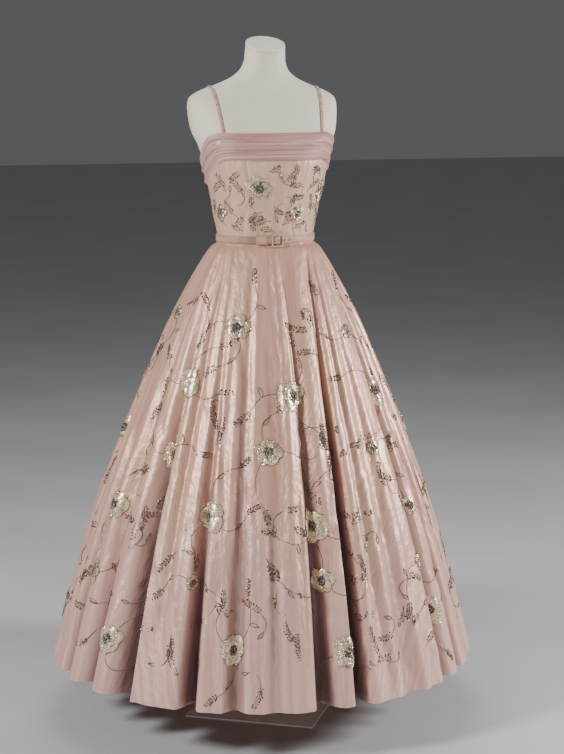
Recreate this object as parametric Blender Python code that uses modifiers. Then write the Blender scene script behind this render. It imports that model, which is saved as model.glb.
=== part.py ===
"""Evening dress on a limbless dress form, at real size.

Metres, +Z up. The dress faces -Y and the wearer's left side is +X. The origin is the middle of the
base plate's underside. Angles round the body are in degrees from the front towards the wearer's left.
"""

from math import asin, ceil, copysign, cos, degrees, pi, radians, sin, tan

import bmesh
import bpy
from mathutils import Matrix, Vector

MM = 0.001
SEAM_GAP = 0.3 * MM

# Heights above the floor
WAIST_Z = 1.107
HEM_Z = 0.126
NECKLINE_FRONT_Z = 1.346
NECKLINE_BACK_Z = 1.252
NECKLINE_DIP = 12 * MM
NECKLINE_DIP_DEG = -95
NECKLINE_DIP_REACH_DEG = 40

# Layers on the form, as distances out from its surface
BODICE_INNER = 0.8 * MM
BODICE_OUTER = 2.3 * MM
BAND_INNER = 3.2 * MM
BAND_OUTER = 4.9 * MM
BAND_PLEAT_RISE = 2.6 * MM
BELT_INNER = 4.2 * MM
BELT_THICKNESS = 2.4 * MM

# Cloth pieces
SKIRT_THICKNESS = 1.5 * MM
BAND_HEIGHT = 62 * MM
BAND_HEIGHT_BACK = 52 * MM
BAND_PLEATS = 4
BELT_HEIGHT = 19 * MM
BELT_START_DEG = 5
BELT_LAP_DEG = 26
BELT_CLIMB_DEG = 16
BAR_BULGE_DEG = 5
STRAP_WIDTH = 7 * MM
STRAP_THICKNESS = 2.2 * MM
STRAP_GAP = 0.8 * MM
STRAP_STEP = 15 * MM
STRAP_FRONT_X = 0.112
STRAP_BACK_X = 0.100
STRAP_FRONT_CLEAR = 1.5 * MM
STRAP_BACK_CLEAR = 3.8 * MM
SHOULDER_X = 0.1225
SHOULDER_RIDGE_Z = 1.443
SHOULDER_ROUND_Z = 1.415
PRINCESS_TOP_DEG = 27
PRINCESS_WAIST_DEG = 24
SIDE_DEG = 90

# Belt fittings
BUCKLE_DEG = 3
BUCKLE_WIDTH = 28 * MM
BUCKLE_HEIGHT = 31 * MM
BUCKLE_BAR = 4 * MM
BUCKLE_THICKNESS = 3 * MM
CENTRE_BAR_THICKNESS = 1.4 * MM
CENTRE_BAR_WIDTH = 3 * MM
PRONG_RADIUS = 0.9 * MM
PRONG_LINE = ((0.5 * MM, 3.35 * MM), (6 * MM, 3.7 * MM), (10 * MM, 4.25 * MM), (13 * MM, 4.25 * MM))

# Dress form and stand
FORM_BOTTOM_Z = 0.900
FORM_EDGE_ROUND = 8 * MM
NECK_TOP_Z = 1.541
NECK_TILT_DEG = 17
NECK_CAP_THICKNESS = 8 * MM
POLE_RADIUS = 12.5 * MM
POLE_SOCKET_DEPTH = 75 * MM
COLLAR_RADIUS = 27 * MM
COLLAR_HEIGHT = 26 * MM
PLATE_SIDE = 305 * MM
PLATE_THICKNESS = 4 * MM
PLATE_TURN_DEG = -29
PLATE_CORNER = 2 * MM

# Mesh fineness
FORM_ROW_STEP = 20 * MM
BODICE_ROWS = 12
BELT_STEP_DEG = 7
BELT_FINE_STEP_DEG = 2
POLE_SIDES = 16

# Level sections of the form: half its width, and where its front, its widest points and its back lie
FORM_COLUMNS_OF_TABLE = ("z", "half_width", "front_y", "middle_y", "back_y", "squareness")
FORM_SECTIONS = (
    (0.900, 0.165, -0.115, 0.005, 0.125, 2.1),
    (0.950, 0.160, -0.114, 0.005, 0.123, 2.1),
    (1.000, 0.147, -0.109, 0.003, 0.114, 2.1),
    (1.050, 0.127, -0.097, 0.000, 0.097, 2.1),
    (1.0965, 0.1069, -0.0859, -0.0017, 0.0825, 2.0),
    (1.107, 0.1065, -0.0855, -0.0017, 0.082, 2.0),
    (1.1165, 0.1070, -0.0861, -0.0017, 0.0824, 2.0),
    (1.160, 0.1155, -0.097, 0.000, 0.088, 2.1),
    (1.205, 0.1225, -0.110, 0.000, 0.094, 2.1),
    (1.250, 0.1335, -0.124, 0.001, 0.100, 2.15),
    (1.284, 0.1415, -0.127, 0.004, 0.105, 2.2),
    (1.312, 0.149, -0.121, 0.010, 0.109, 2.25),
    (1.343, 0.163, -0.106, 0.018, 0.111, 2.3),
    (1.370, 0.1685, -0.090, 0.024, 0.111, 2.35),
    (1.396, 0.171, -0.073, 0.029, 0.106, 2.35),
    (1.411, 0.170, -0.063, 0.030, 0.101, 2.3),
    (1.423, 0.164, -0.054, 0.030, 0.095, 2.15),
    (1.436, 0.142, -0.046, 0.028, 0.087, 2.0),
    (1.450, 0.105, -0.041, 0.023, 0.077, 1.9),
    (1.463, 0.077, -0.040, 0.017, 0.068, 1.9),
    (1.476, 0.0595, -0.0415, 0.011, 0.061, 1.95),
    (1.490, 0.050, -0.0445, 0.006, 0.056, 2.0),
    (1.508, 0.0455, -0.0485, 0.000, 0.050, 2.0),
    (1.560, 0.0435, -0.0580, -0.009, 0.041, 2.0),
)
NECK_TOP_ROW_Z = 1.508

# Skirt without its folds: half its width and depth, and how far back its middle lies
SKIRT_COLUMNS_OF_TABLE = ("z", "half_width", "half_depth", "middle_y")
SKIRT_SECTIONS = (
    (0.126, 0.4930, 0.470, 0.030),
    (0.320, 0.4410, 0.423, 0.026),
    (0.500, 0.3860, 0.372, 0.022),
    (0.660, 0.3265, 0.316, 0.018),
    (0.790, 0.2740, 0.264, 0.014),
    (0.900, 0.2270, 0.215, 0.010),
    (0.980, 0.1870, 0.172, 0.006),
    (1.035, 0.1560, 0.138, 0.003),
    (1.068, 0.1360, 0.114, 0.001),
    (1.086, 0.1235, 0.100, 0.000),
    (1.0965, 0.1096, 0.0870, -0.0017),
    (1.107, 0.1088, 0.0861, -0.0017),
)
SKIRT_ROWS_Z = (1.107, 1.0965, 1.084, 1.060, 1.020, 0.960, 0.880, 0.760, 0.580, 0.360, 0.126)

# Folds of the skirt, each a furrow with a wall on either side; a named piece starts at its seam
FOLD_COLUMNS_OF_TABLE = (
    "hem_deg", "waist_deg", "left_deg", "right_deg", "starts_z", "mid_mm", "hem_mm", "piece",
)
FOLDS = (
    (-167.0, -168.0, 5.0, 4.0, 1.02, 17, 36, ""),
    (-154.0, -156.0, 3.5, 5.0, 1.06, 20, 44, ""),
    (-143.0, -143.0, 3.5, 3.5, 1.03, 12, 30, "skirt_side_back_right"),
    (-131.0, -131.0, 5.5, 3.5, 1.06, 20, 46, ""),
    (-117.5, -118.0, 3.5, 5.0, 1.00, 16, 38, ""),
    (-104.5, -105.0, 4.5, 3.0, 1.04, 17, 40, ""),
    (-92.0, -93.0, 4.0, 4.0, 1.00, 12, 28, "skirt_side_front_right"),
    (-79.5, -82.0, 4.5, 4.5, 0.98, 10, 28, ""),
    (-66.5, -71.0, 6.5, 3.5, 1.00, 16, 36, ""),
    (-51.6, -59.0, 8.5, 3.0, 1.075, 27, 54, "skirt_front"),
    (-43.0, -53.0, 4.0, 4.5, 1.085, 11, 0, ""),
    (-32.4, -48.0, 3.6, 3.2, 1.03, 17, 46, ""),
    (-20.0, -25.0, 4.6, 4.6, 1.085, 13, 22, ""),
    (-9.5, -12.0, 4.5, 4.0, 1.06, 8, 9, ""),
    (3.0, 2.0, 2.6, 6.2, 1.085, 22, 50, ""),
    (14.0, 45.0, 2.8, 3.2, 1.085, 28, 66, ""),
    (21.5, 51.0, 3.0, 3.5, 1.08, 8, 0, ""),
    (29.5, 57.0, 4.5, 5.0, 1.06, 10, 13, ""),
    (45.5, 66.0, 3.0, 3.2, 1.08, 19, 36, "skirt_side_front_left"),
    (55.5, 71.0, 4.0, 3.0, 1.03, 12, 25, ""),
    (66.5, 77.0, 4.5, 3.8, 1.05, 16, 34, ""),
    (78.5, 84.0, 3.5, 5.0, 1.00, 13, 38, ""),
    (92.0, 93.0, 4.2, 4.0, 1.03, 14, 32, "skirt_side_back_left"),
    (104.5, 104.0, 3.0, 5.0, 1.05, 19, 44, ""),
    (117.0, 117.0, 5.0, 3.5, 1.00, 13, 30, ""),
    (130.0, 130.0, 3.5, 5.0, 1.06, 22, 50, ""),
    (143.0, 143.0, 4.5, 4.0, 1.02, 13, 33, "skirt_back_left"),
    (155.5, 157.0, 3.5, 4.5, 1.04, 19, 46, ""),
    (168.0, 169.0, 4.0, 5.0, 1.00, 14, 36, ""),
    (180.0, 180.0, 4.0, 4.0, 0.90, 14, 38, "skirt_back_right"),
)
WALL_STEPS = (-1.0, -0.55, 0.0, 0.55, 1.0)
WIDEST_COLUMN_DEG = 6.0
CLOSEST_COLUMN_DEG = 1.4

# Bodice pieces between two seams, each seam as its angle at the waist and at the neckline
BODICE_COLUMNS_OF_TABLE = ("piece", "from_waist", "to_waist", "from_top", "to_top", "columns")
BODICE_PIECES = (
    ("bodice_back_right", -180, -SIDE_DEG, -180, -SIDE_DEG, 10),
    ("bodice_side_front_right", -SIDE_DEG, -PRINCESS_WAIST_DEG, -SIDE_DEG, -PRINCESS_TOP_DEG, 8),
    ("bodice_front", -PRINCESS_WAIST_DEG, PRINCESS_WAIST_DEG, -PRINCESS_TOP_DEG, PRINCESS_TOP_DEG, 7),
    ("bodice_side_front_left", PRINCESS_WAIST_DEG, SIDE_DEG, PRINCESS_TOP_DEG, SIDE_DEG, 8),
    ("bodice_back_left", SIDE_DEG, 180, SIDE_DEG, 180, 10),
)
BAND_PIECES = (
    ("band_back_right", ("bodice_back_right",)),
    ("band_front", ("bodice_side_front_right", "bodice_front", "bodice_side_front_left")),
    ("band_back_left", ("bodice_back_left",)),
)

# Colour, roughness and metallic value of each finish
FINISHES = {
    "silk": ((0.72, 0.50, 0.45, 1.0), 0.42, 0.0),
    "band_silk": ((0.62, 0.40, 0.38, 1.0), 0.5, 0.0),
    "form_cover": ((0.80, 0.77, 0.68, 1.0), 0.55, 0.0),
    "stand_metal": ((0.55, 0.53, 0.50, 1.0), 0.35, 0.9),
    "plate_paint": ((0.62, 0.60, 0.56, 1.0), 0.4, 0.0),
}


def clear_scene():
    for thing in list(bpy.data.objects):
        bpy.data.objects.remove(thing)


def finish_of(name):
    """The material of that name, made on first use."""
    material = bpy.data.materials.get(name)
    if material is None:
        colour, roughness, metallic = FINISHES[name]
        material = bpy.data.materials.new(name)
        material.use_nodes = True
        shader = material.node_tree.nodes["Principled BSDF"]
        shader.inputs["Base Color"].default_value = colour
        shader.inputs["Roughness"].default_value = roughness
        shader.inputs["Metallic"].default_value = metallic
    return material


def read_table(rows, columns, column, z):
    """One column of a table at a height, on a smooth curve through its rows."""
    heights = [row[columns.index("z")] for row in rows]
    values = [row[columns.index(column)] for row in rows]
    if z <= heights[0]:
        return values[0]
    if z >= heights[-1]:
        return values[-1]
    low = max(i for i in range(len(heights) - 1) if heights[i] <= z)

    def slope(i):
        before, after = max(i - 1, 0), min(i + 1, len(heights) - 1)
        return (values[after] - values[before]) / (heights[after] - heights[before])

    span = heights[low + 1] - heights[low]
    s = (z - heights[low]) / span
    return (
        values[low] * (2 * s**3 - 3 * s**2 + 1)
        + slope(low) * span * (s**3 - 2 * s**2 + s)
        + values[low + 1] * (3 * s**2 - 2 * s**3)
        + slope(low + 1) * span * (s**3 - s**2)
    )


def form_value(column, z):
    return read_table(FORM_SECTIONS, FORM_COLUMNS_OF_TABLE, column, z)


def on_form(angle_deg, z, out=0.0):
    """The point at that angle and height, that far out from the form's surface."""
    across, along = sin(radians(angle_deg)), cos(radians(angle_deg))
    power = 2 / form_value("squareness", z)
    middle = form_value("middle_y", z)
    depth = middle - form_value("front_y", z) if along > 0 else form_value("back_y", z) - middle
    x = (form_value("half_width", z) + out) * copysign(abs(across) ** power, across)
    y = middle - (depth + out) * copysign(abs(along) ** power, along)
    return Vector((x, y, z))


def mesh_object(name, points, faces, finish):
    """An object with that mesh, welded, facing out and smooth where it is round."""
    mesh = bpy.data.meshes.new(name)
    mesh.from_pydata(points, [], faces)
    shape = bmesh.new()
    shape.from_mesh(mesh)
    bmesh.ops.recalc_face_normals(shape, faces=shape.faces)
    shape.to_mesh(mesh)
    shape.free()
    mesh.shade_smooth()
    mesh.set_sharp_from_angle(angle=radians(50))
    mesh.materials.append(finish_of(finish))
    made = bpy.data.objects.new(name, mesh)
    PARTS.objects.link(made)
    return made


def wall(name, outer, inner, finish):
    """A cloth wall between two grids of points, each a list of rows, with its four edges closed."""
    rows, columns = len(outer), len(outer[0])
    points = [p for row in outer for p in row] + [p for row in inner for p in row]
    back = rows * columns

    def at(row, column):
        return row * columns + column

    faces = []
    for row in range(rows - 1):
        for column in range(columns - 1):
            face = (at(row, column), at(row, column + 1), at(row + 1, column + 1), at(row + 1, column))
            faces.append(face)
            # Started at the same corner, so that both sides of the wall are split the same way
            faces.append(tuple(back + face[i] for i in (0, 3, 2, 1)))
        for column in (0, columns - 1):
            top, bottom = at(row, column), at(row + 1, column)
            faces.append((top, bottom, back + bottom, back + top))
    for column in range(columns - 1):
        for row in (0, rows - 1):
            first, second = at(row, column), at(row, column + 1)
            faces.append((first, back + first, back + second, second))
    return mesh_object(name, points, faces, finish)


def stack_of_rings(name, rings, finish):
    """A closed solid through rings of equally many points, its two end rings filled."""
    sides = len(rings[0])
    points = [p for ring in rings for p in ring]
    faces = [tuple(range(sides)), tuple(len(points) - 1 - i for i in range(sides))]
    for level in range(len(rings) - 1):
        for side in range(sides):
            after = (side + 1) % sides
            faces.append(
                (
                    level * sides + side,
                    level * sides + after,
                    (level + 1) * sides + after,
                    (level + 1) * sides + side,
                )
            )
    return mesh_object(name, points, faces, finish)


def cylinder(name, radius, bottom_z, top_z, finish, sides=POLE_SIDES):
    """An upright round bar on the stand's axis."""
    shape = bmesh.new()
    height = top_z - bottom_z
    middle = Matrix.Translation((0, 0, bottom_z + height / 2))
    bmesh.ops.create_cone(
        shape, cap_ends=True, segments=sides, radius1=radius, radius2=radius, depth=height, matrix=middle
    )
    mesh = bpy.data.meshes.new(name)
    shape.to_mesh(mesh)
    shape.free()
    mesh.materials.append(finish_of(finish))
    made = bpy.data.objects.new(name, mesh)
    PARTS.objects.link(made)
    return made


def neckline_z(angle_deg):
    """Height of the neckline: level in front, falling to the back, lower under the wearer's right arm."""
    turned = abs((angle_deg + 180) % 360 - 180)
    fall = min(max((turned - 42) / (180 - 42), 0.0), 1.0)
    smooth_fall = (1 - cos(pi * fall**0.75)) / 2
    from_dip = min(abs((angle_deg - NECKLINE_DIP_DEG + 180) % 360 - 180) / NECKLINE_DIP_REACH_DEG, 1.0)
    dip = NECKLINE_DIP * (1 + cos(pi * from_dip)) / 2
    return NECKLINE_FRONT_Z + (NECKLINE_BACK_Z - NECKLINE_FRONT_Z) * smooth_fall - dip


def band_height(angle_deg):
    """Depth of the folded band, narrower towards the back."""
    turned = abs((angle_deg + 180) % 360 - 180) / 180
    return BAND_HEIGHT + (BAND_HEIGHT_BACK - BAND_HEIGHT) * turned**1.5


def degrees_across(length, z, angle_deg):
    """The turn that a short length along the form's surface takes, at that place."""
    step = 0.5
    reach = (on_form(angle_deg + step, z) - on_form(angle_deg - step, z)).length
    return length * 2 * step / reach


def spread(first, last, widest):
    """Numbers from first to last, evenly spaced and no further apart than widest."""
    count = ceil((last - first) / widest)
    return [first + (last - first) * i / count for i in range(count + 1)]


def torso_columns(piece, up):
    """The angles of a bodice piece's columns, at a share of the way from the waist to the band."""
    for row in BODICE_PIECES:
        if row[0] == piece:
            first, last = row[1] + (row[3] - row[1]) * up, row[2] + (row[4] - row[2]) * up
            return [first + (last - first) * i / row[5] for i in range(row[5] + 1)]
    return []


def all_columns(up):
    """The torso's columns all the way round, each once."""
    return [angle for row in BODICE_PIECES for angle in torso_columns(row[0], up)[:-1]]


def share_up(z):
    """How far up the slanting seams a height is: they stand straight behind the band."""
    return min(max((z - WAIST_Z) / (NECKLINE_FRONT_Z - BAND_HEIGHT - WAIST_Z), 0.0), 1.0)


def rim_moved(angles, z):
    """The same columns with the first and the last drawn in by half the seam's gap."""
    first = angles[0] + degrees_across(SEAM_GAP / 2, z, angles[0])
    last = angles[-1] - degrees_across(SEAM_GAP / 2, z, angles[-1])
    return [first] + angles[1:-1] + [last]


# Dress form and its stand
def neck_ring(below_top):
    """A ring of the neck on the tilted plane that far below the top of its cap."""
    tilt = radians(NECK_TILT_DEG)
    ring = []
    for angle in all_columns(1.0):
        z = NECK_TOP_Z - below_top
        for _ in range(4):
            point = on_form(angle, z)
            ahead = point.y - form_value("middle_y", NECK_TOP_Z)
            z = NECK_TOP_Z - below_top / cos(tilt) + tan(tilt) * ahead
        ring.append(on_form(angle, z))
    return ring


def form_ring(z, inwards=0.0):
    return [on_form(angle, z, -inwards) for angle in all_columns(share_up(z))]


def socket_ring(z):
    """A ring of the hole in the form's underside that the pole goes into."""
    radius = POLE_RADIUS + SEAM_GAP
    turns = [radians(angle) for angle in all_columns(0.0)]
    return [Vector((radius * sin(turn), -radius * cos(turn), z)) for turn in turns]


def form_heights():
    """Heights of the form's rings: its table's own rows, and rows between them where they are far apart."""
    marks = [row[0] for row in FORM_SECTIONS if FORM_BOTTOM_Z < row[0] <= NECK_TOP_ROW_Z]
    heights = [marks[0]]
    for before, after in zip(marks, marks[1:]):
        step = FORM_ROW_STEP if before > 1.04 else 3 * FORM_ROW_STEP
        count = ceil((after - before) / step - 0.2)
        heights += [before + (after - before) * k / count for k in range(1, count + 1)]
    return heights


def build_form():
    rings = [socket_ring(FORM_BOTTOM_Z + POLE_SOCKET_DEPTH), socket_ring(FORM_BOTTOM_Z)]
    rings.append(form_ring(FORM_BOTTOM_Z, FORM_EDGE_ROUND))
    rings.append(form_ring(FORM_BOTTOM_Z + FORM_EDGE_ROUND))
    rings += [form_ring(z) for z in form_heights()]
    rings.append(neck_ring(NECK_CAP_THICKNESS + SEAM_GAP))
    stack_of_rings("form_torso", rings, "form_cover")
    stack_of_rings("form_neck_cap", [neck_ring(NECK_CAP_THICKNESS), neck_ring(0.0)], "form_cover")


def build_stand():
    bpy.ops.mesh.primitive_cube_add(size=1, location=(0, 0, PLATE_THICKNESS / 2))
    plate = bpy.context.object
    plate.name = "base_plate"
    plate.data.transform(Matrix.Diagonal((PLATE_SIDE, PLATE_SIDE, PLATE_THICKNESS, 1)))
    plate.rotation_euler.z = radians(PLATE_TURN_DEG)
    bevel = plate.modifiers.new("worn corners", "BEVEL")
    bevel.affect = "VERTICES"
    bevel.width = PLATE_CORNER
    bevel.segments = 1
    plate.data.materials.append(finish_of("plate_paint"))
    for collection in list(plate.users_collection):
        collection.objects.unlink(plate)
    PARTS.objects.link(plate)

    pole_bottom = PLATE_THICKNESS + SEAM_GAP
    pole_top = FORM_BOTTOM_Z + POLE_SOCKET_DEPTH - SEAM_GAP
    cylinder("pole", POLE_RADIUS, pole_bottom, pole_top, "stand_metal")
    rings = []
    for radius, z in (
        (POLE_RADIUS + SEAM_GAP, pole_bottom),
        (COLLAR_RADIUS, pole_bottom),
        (COLLAR_RADIUS, pole_bottom + COLLAR_HEIGHT / 2),
        (COLLAR_RADIUS * 0.7, pole_bottom + COLLAR_HEIGHT),
        (POLE_RADIUS + SEAM_GAP, pole_bottom + COLLAR_HEIGHT),
    ):
        turns = [2 * pi * side / POLE_SIDES for side in range(POLE_SIDES)]
        rings.append([Vector((radius * sin(turn), -radius * cos(turn), z)) for turn in turns])
    build_closed_band("pole_collar", rings, "stand_metal")


def build_closed_band(name, rings, finish):
    """A solid through rings of points where the last ring joins the first one again."""
    sides, levels = len(rings[0]), len(rings)
    points = [p for ring in rings for p in ring]
    faces = []
    for level in range(levels):
        above = (level + 1) % levels
        for side in range(sides):
            after = (side + 1) % sides
            faces.append(
                (level * sides + side, level * sides + after, above * sides + after, above * sides + side)
            )
    mesh_object(name, points, faces, finish)


# Bodice, band, straps and placket
def build_bodice():
    """The fitted panels between the waist and the neckline."""
    bottom_z = WAIST_Z + SEAM_GAP
    for piece in (row[0] for row in BODICE_PIECES):
        outer, inner = [], []
        for row in range(BODICE_ROWS + 1):
            straight = torso_columns(piece, 1.0)
            middle = straight[len(straight) // 2]
            up = share_up(bottom_z + (neckline_z(middle) - bottom_z) * row / BODICE_ROWS)
            angles = rim_moved(torso_columns(piece, up), WAIST_Z)
            heights = [bottom_z + (neckline_z(angle) - bottom_z) * row / BODICE_ROWS for angle in angles]
            outer.append([on_form(a, z, BODICE_OUTER) for a, z in zip(angles, heights)])
            inner.append([on_form(a, z, BODICE_INNER) for a, z in zip(angles, heights)])
        wall(piece, outer, inner, "silk")


def build_band():
    """The folded band round the neckline: pleats like clapboards, each lip standing over the next."""
    shares = []
    for pleat in range(BAND_PLEATS):
        shares += [(pleat / BAND_PLEATS, 0.0), ((pleat + 0.8) / BAND_PLEATS, 1.0)]
    shares.append((1.0, 0.0))
    for piece, panels in BAND_PIECES:
        angles = [angle for panel in panels for angle in torso_columns(panel, 1.0)[:-1]]
        angles.append(torso_columns(panels[-1], 1.0)[-1])
        angles = rim_moved(angles, NECKLINE_BACK_Z)
        outer, inner = [], []
        for down, rise in shares:
            heights = [neckline_z(a) - band_height(a) * down for a in angles]
            out = BAND_OUTER + BAND_PLEAT_RISE * rise
            outer.append([on_form(a, z, out) for a, z in zip(angles, heights)])
            inner.append([on_form(a, z, BAND_INNER) for a, z in zip(angles, heights)])
        wall(piece, outer, inner, "band_silk")


def angle_across(x, z):
    """The angle, in the front quarter, at which the form's surface is that far across at a height."""
    share = min(x / form_value("half_width", z), 1.0)
    return degrees(asin(share ** (form_value("squareness", z) / 2)))


def strap_half(band_x, band_z):
    """Angles and heights of one half of the strap's line, from the band up to the shoulder's ridge."""
    slope = (SHOULDER_X - band_x) / (SHOULDER_RIDGE_Z - band_z)
    count = ceil((SHOULDER_ROUND_Z - band_z) / STRAP_STEP)
    line = [band_z + (SHOULDER_ROUND_Z - band_z) * k / count for k in range(count + 1)]
    spots = [(angle_across(band_x + slope * (z - band_z), z), z) for z in line]
    first_angle = spots[-1][0]
    for k in range(1, 8):
        angle = first_angle + (90 - first_angle) * k / 7
        low, high = SHOULDER_ROUND_Z, 1.46
        for _ in range(30):
            z = (low + high) / 2
            wide = form_value("half_width", z) * sin(radians(angle)) ** (2 / form_value("squareness", z))
            if wide > band_x + slope * (z - band_z):
                low = z
            else:
                high = z
        spots.append((angle, low))
    return spots


def form_outwards(angle, z):
    """The direction straight out of the form's surface."""
    round_form = on_form(angle + 0.5, z) - on_form(angle - 0.5, z)
    up_form = on_form(angle, z + 0.5 * MM) - on_form(angle, z - 0.5 * MM)
    return round_form.cross(up_form).normalized()


def build_straps():
    """A narrow flat strap over each shoulder, from the band in front to the band behind."""
    front = strap_half(STRAP_FRONT_X, neckline_z(40) + STRAP_FRONT_CLEAR)
    behind = strap_half(STRAP_BACK_X, neckline_z(138) + STRAP_BACK_CLEAR)
    spots = front + [(180 - angle, z) for angle, z in reversed(behind[:-1])]
    middles = []
    for angle, z in spots:
        middles.append(on_form(angle, z) + form_outwards(angle, z) * (STRAP_GAP + STRAP_THICKNESS / 2))
    rings = []
    for i, (angle, z) in enumerate(spots):
        outwards = form_outwards(angle, z)
        along = middles[min(i + 1, len(spots) - 1)] - middles[max(i - 1, 0)]
        across = along.cross(outwards).normalized()
        ring = []
        for corner in range(8):
            turn = radians(22.5 + 45 * corner)
            beside, rise = STRAP_WIDTH / 2 * cos(turn), STRAP_THICKNESS / 2 * sin(turn)
            ring.append(middles[i] + across * beside + outwards * rise)
        rings.append(ring)
    stack_of_rings("strap_left", rings, "band_silk")
    mirrored = [[Vector((-p.x, p.y, p.z)) for p in reversed(ring)] for ring in rings]
    stack_of_rings("strap_right", mirrored, "band_silk")


# Belt and its fittings
def belt_lift(turned):
    """How far a place on the belt stands out over its own start, by its turn along the belt."""
    lap = 360 - turned
    lift = (BELT_THICKNESS + SEAM_GAP) * (1 - cos(pi * min(max(1 - lap / BELT_CLIMB_DEG, 0.0), 1.0))) / 2
    from_bar = abs(lap - (BUCKLE_DEG - BELT_START_DEG)) / BAR_BULGE_DEG
    if from_bar < 1:
        lift += (CENTRE_BAR_THICKNESS + 2 * SEAM_GAP) * (1 + cos(pi * from_bar)) / 2
    return lift


def belt_point(angle_deg, z, out):
    """A point at the waist's section, whatever its height: the belt stands straight."""
    foot = on_form(angle_deg, WAIST_Z, out)
    return Vector((foot.x, foot.y, z))


def build_belt():
    """One strap that starts at the buckle, goes round by the right side and laps over its own start."""
    low, high = WAIST_Z - BELT_HEIGHT / 2, WAIST_Z + BELT_HEIGHT / 2
    whole = 360 + BELT_LAP_DEG
    turns = spread(0, 360 - BELT_CLIMB_DEG, BELT_STEP_DEG)
    turns += spread(360 - BELT_CLIMB_DEG, 360 + 2 * BAR_BULGE_DEG, BELT_FINE_STEP_DEG)[1:]
    turns += spread(360 + 2 * BAR_BULGE_DEG, whole, BELT_FINE_STEP_DEG)[1:]
    rings = []
    for turned in turns:
        inner = BELT_INNER + belt_lift(turned)
        outer = inner + BELT_THICKNESS
        end_round = max((turned - whole + 3.4) / 3.4, 0.0)
        cut_back = BELT_HEIGHT / 2 * 0.35 * end_round**2
        angle = BELT_START_DEG - turned
        rings.append(
            [
                belt_point(angle, low + cut_back, inner),
                belt_point(angle, low + cut_back, outer),
                belt_point(angle, high - cut_back, outer),
                belt_point(angle, high - cut_back, inner),
            ]
        )
    stack_of_rings("belt", rings, "silk")


def buckle_axes():
    """The buckle's middle on the belt's inner side, and its directions across and out."""
    ahead, behind = (belt_point(BUCKLE_DEG + turn, WAIST_Z, BELT_INNER) for turn in (2, -2))
    beside = (ahead - behind).normalized()
    return belt_point(BUCKLE_DEG, WAIST_Z, BELT_INNER), beside, Vector((beside.y, -beside.x, 0))


def buckle_seat():
    """How far out the frame's back lies, so that its side bar rests on the belt's outer layer."""
    middle, _, outwards = buckle_axes()
    side_bar = degrees_across(BUCKLE_WIDTH / 2 - BUCKLE_BAR, WAIST_Z, BUCKLE_DEG)
    under_bar = belt_point(BUCKLE_DEG - side_bar, WAIST_Z, BELT_INNER + 2 * BELT_THICKNESS + SEAM_GAP)
    return (under_bar - middle).dot(outwards) + SEAM_GAP


def buckle_place(across, up, out):
    """A point on the buckle, which lies flat on the belt: across and up from its middle, and out."""
    middle, beside, outwards = buckle_axes()
    return middle + beside * across + outwards * (buckle_seat() + out) + Vector((0, 0, up))


def build_buckle():
    """The covered frame in front of the belt, its bar between the belt's two layers, and the prong."""
    rings = []
    for out, inset in ((0, 0), (BUCKLE_THICKNESS, 0.5 * MM)):
        for half_wide, half_high in (
            (BUCKLE_WIDTH / 2 - inset, BUCKLE_HEIGHT / 2 - inset),
            (BUCKLE_WIDTH / 2 - BUCKLE_BAR + inset, BUCKLE_HEIGHT / 2 - BUCKLE_BAR + inset),
        ):
            corners = ((-1, -1), (1, -1), (1, 1), (-1, 1))
            rings.append([buckle_place(half_wide * x, half_high * y, out) for x, y in corners])
    outer_back, inner_back, outer_front, inner_front = rings
    build_closed_band("buckle_frame", [outer_back, inner_back, inner_front, outer_front], "silk")

    top, step_z = BUCKLE_HEIGHT / 2 - BUCKLE_BAR + 1.2 * MM, BELT_HEIGHT / 2 + 3 * SEAM_GAP
    low_front = BELT_THICKNESS + SEAM_GAP + CENTRE_BAR_THICKNESS - buckle_seat()
    bar = []
    for up, front in (
        (-top, -SEAM_GAP), (-step_z, -SEAM_GAP), (0.6 * MM - step_z, low_front),
        (step_z - 0.6 * MM, low_front), (step_z, -SEAM_GAP), (top, -SEAM_GAP),
    ):
        back = front - CENTRE_BAR_THICKNESS
        half = CENTRE_BAR_WIDTH / 2
        corners = ((-half, back), (half, back), (half, front), (-half, front))
        bar.append([buckle_place(across, up, out) for across, out in corners])
    stack_of_rings("buckle_bar", bar, "silk")

    prong = []
    for across, out in PRONG_LINE:
        ring = []
        for corner in range(6):
            turn = radians(60 * corner)
            ring.append(buckle_place(across, PRONG_RADIUS * cos(turn), out + PRONG_RADIUS * sin(turn)))
        prong.append(ring)
    stack_of_rings("buckle_prong", prong, "stand_metal")


# Skirt
def skirt_value(column, z):
    return read_table(SKIRT_SECTIONS, SKIRT_COLUMNS_OF_TABLE, column, z)


def skirt_section(angle_deg, z, out=0.0):
    """A point of the skirt as it would be with no folds, moved straight out."""
    across, along = sin(radians(angle_deg)), cos(radians(angle_deg))
    wide, deep = skirt_value("half_width", z), skirt_value("half_depth", z)
    outwards = Vector((across / wide, -along / deep, 0)).normalized()
    return Vector((wide * across, skirt_value("middle_y", z) - deep * along, z)) + outwards * out


def fold_depth(fold, z):
    """Depth of a fold's furrow at a height: nothing where it starts, then its middle and hem depths."""
    starts_z, mid, hem = fold[4], fold[5] * MM, fold[6] * MM
    down = (starts_z - z) / (starts_z - HEM_Z)
    if down <= 0:
        return 0.0
    return max(mid * 4 * down * (1 - down) + hem * down * (2 * down - 1), 0.0)


def furrow(hem_deg, z):
    """How far the folds draw the cloth in, at a line down the skirt named by its angle at the hem."""
    total = 0.0
    for fold in FOLDS:
        away = (hem_deg - fold[0] + 180) % 360 - 180
        share = away / (fold[3] if away > 0 else fold[2])
        if abs(share) < 1:
            total += fold_depth(fold, z) * (1 + cos(pi * share)) / 2
    return total


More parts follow.
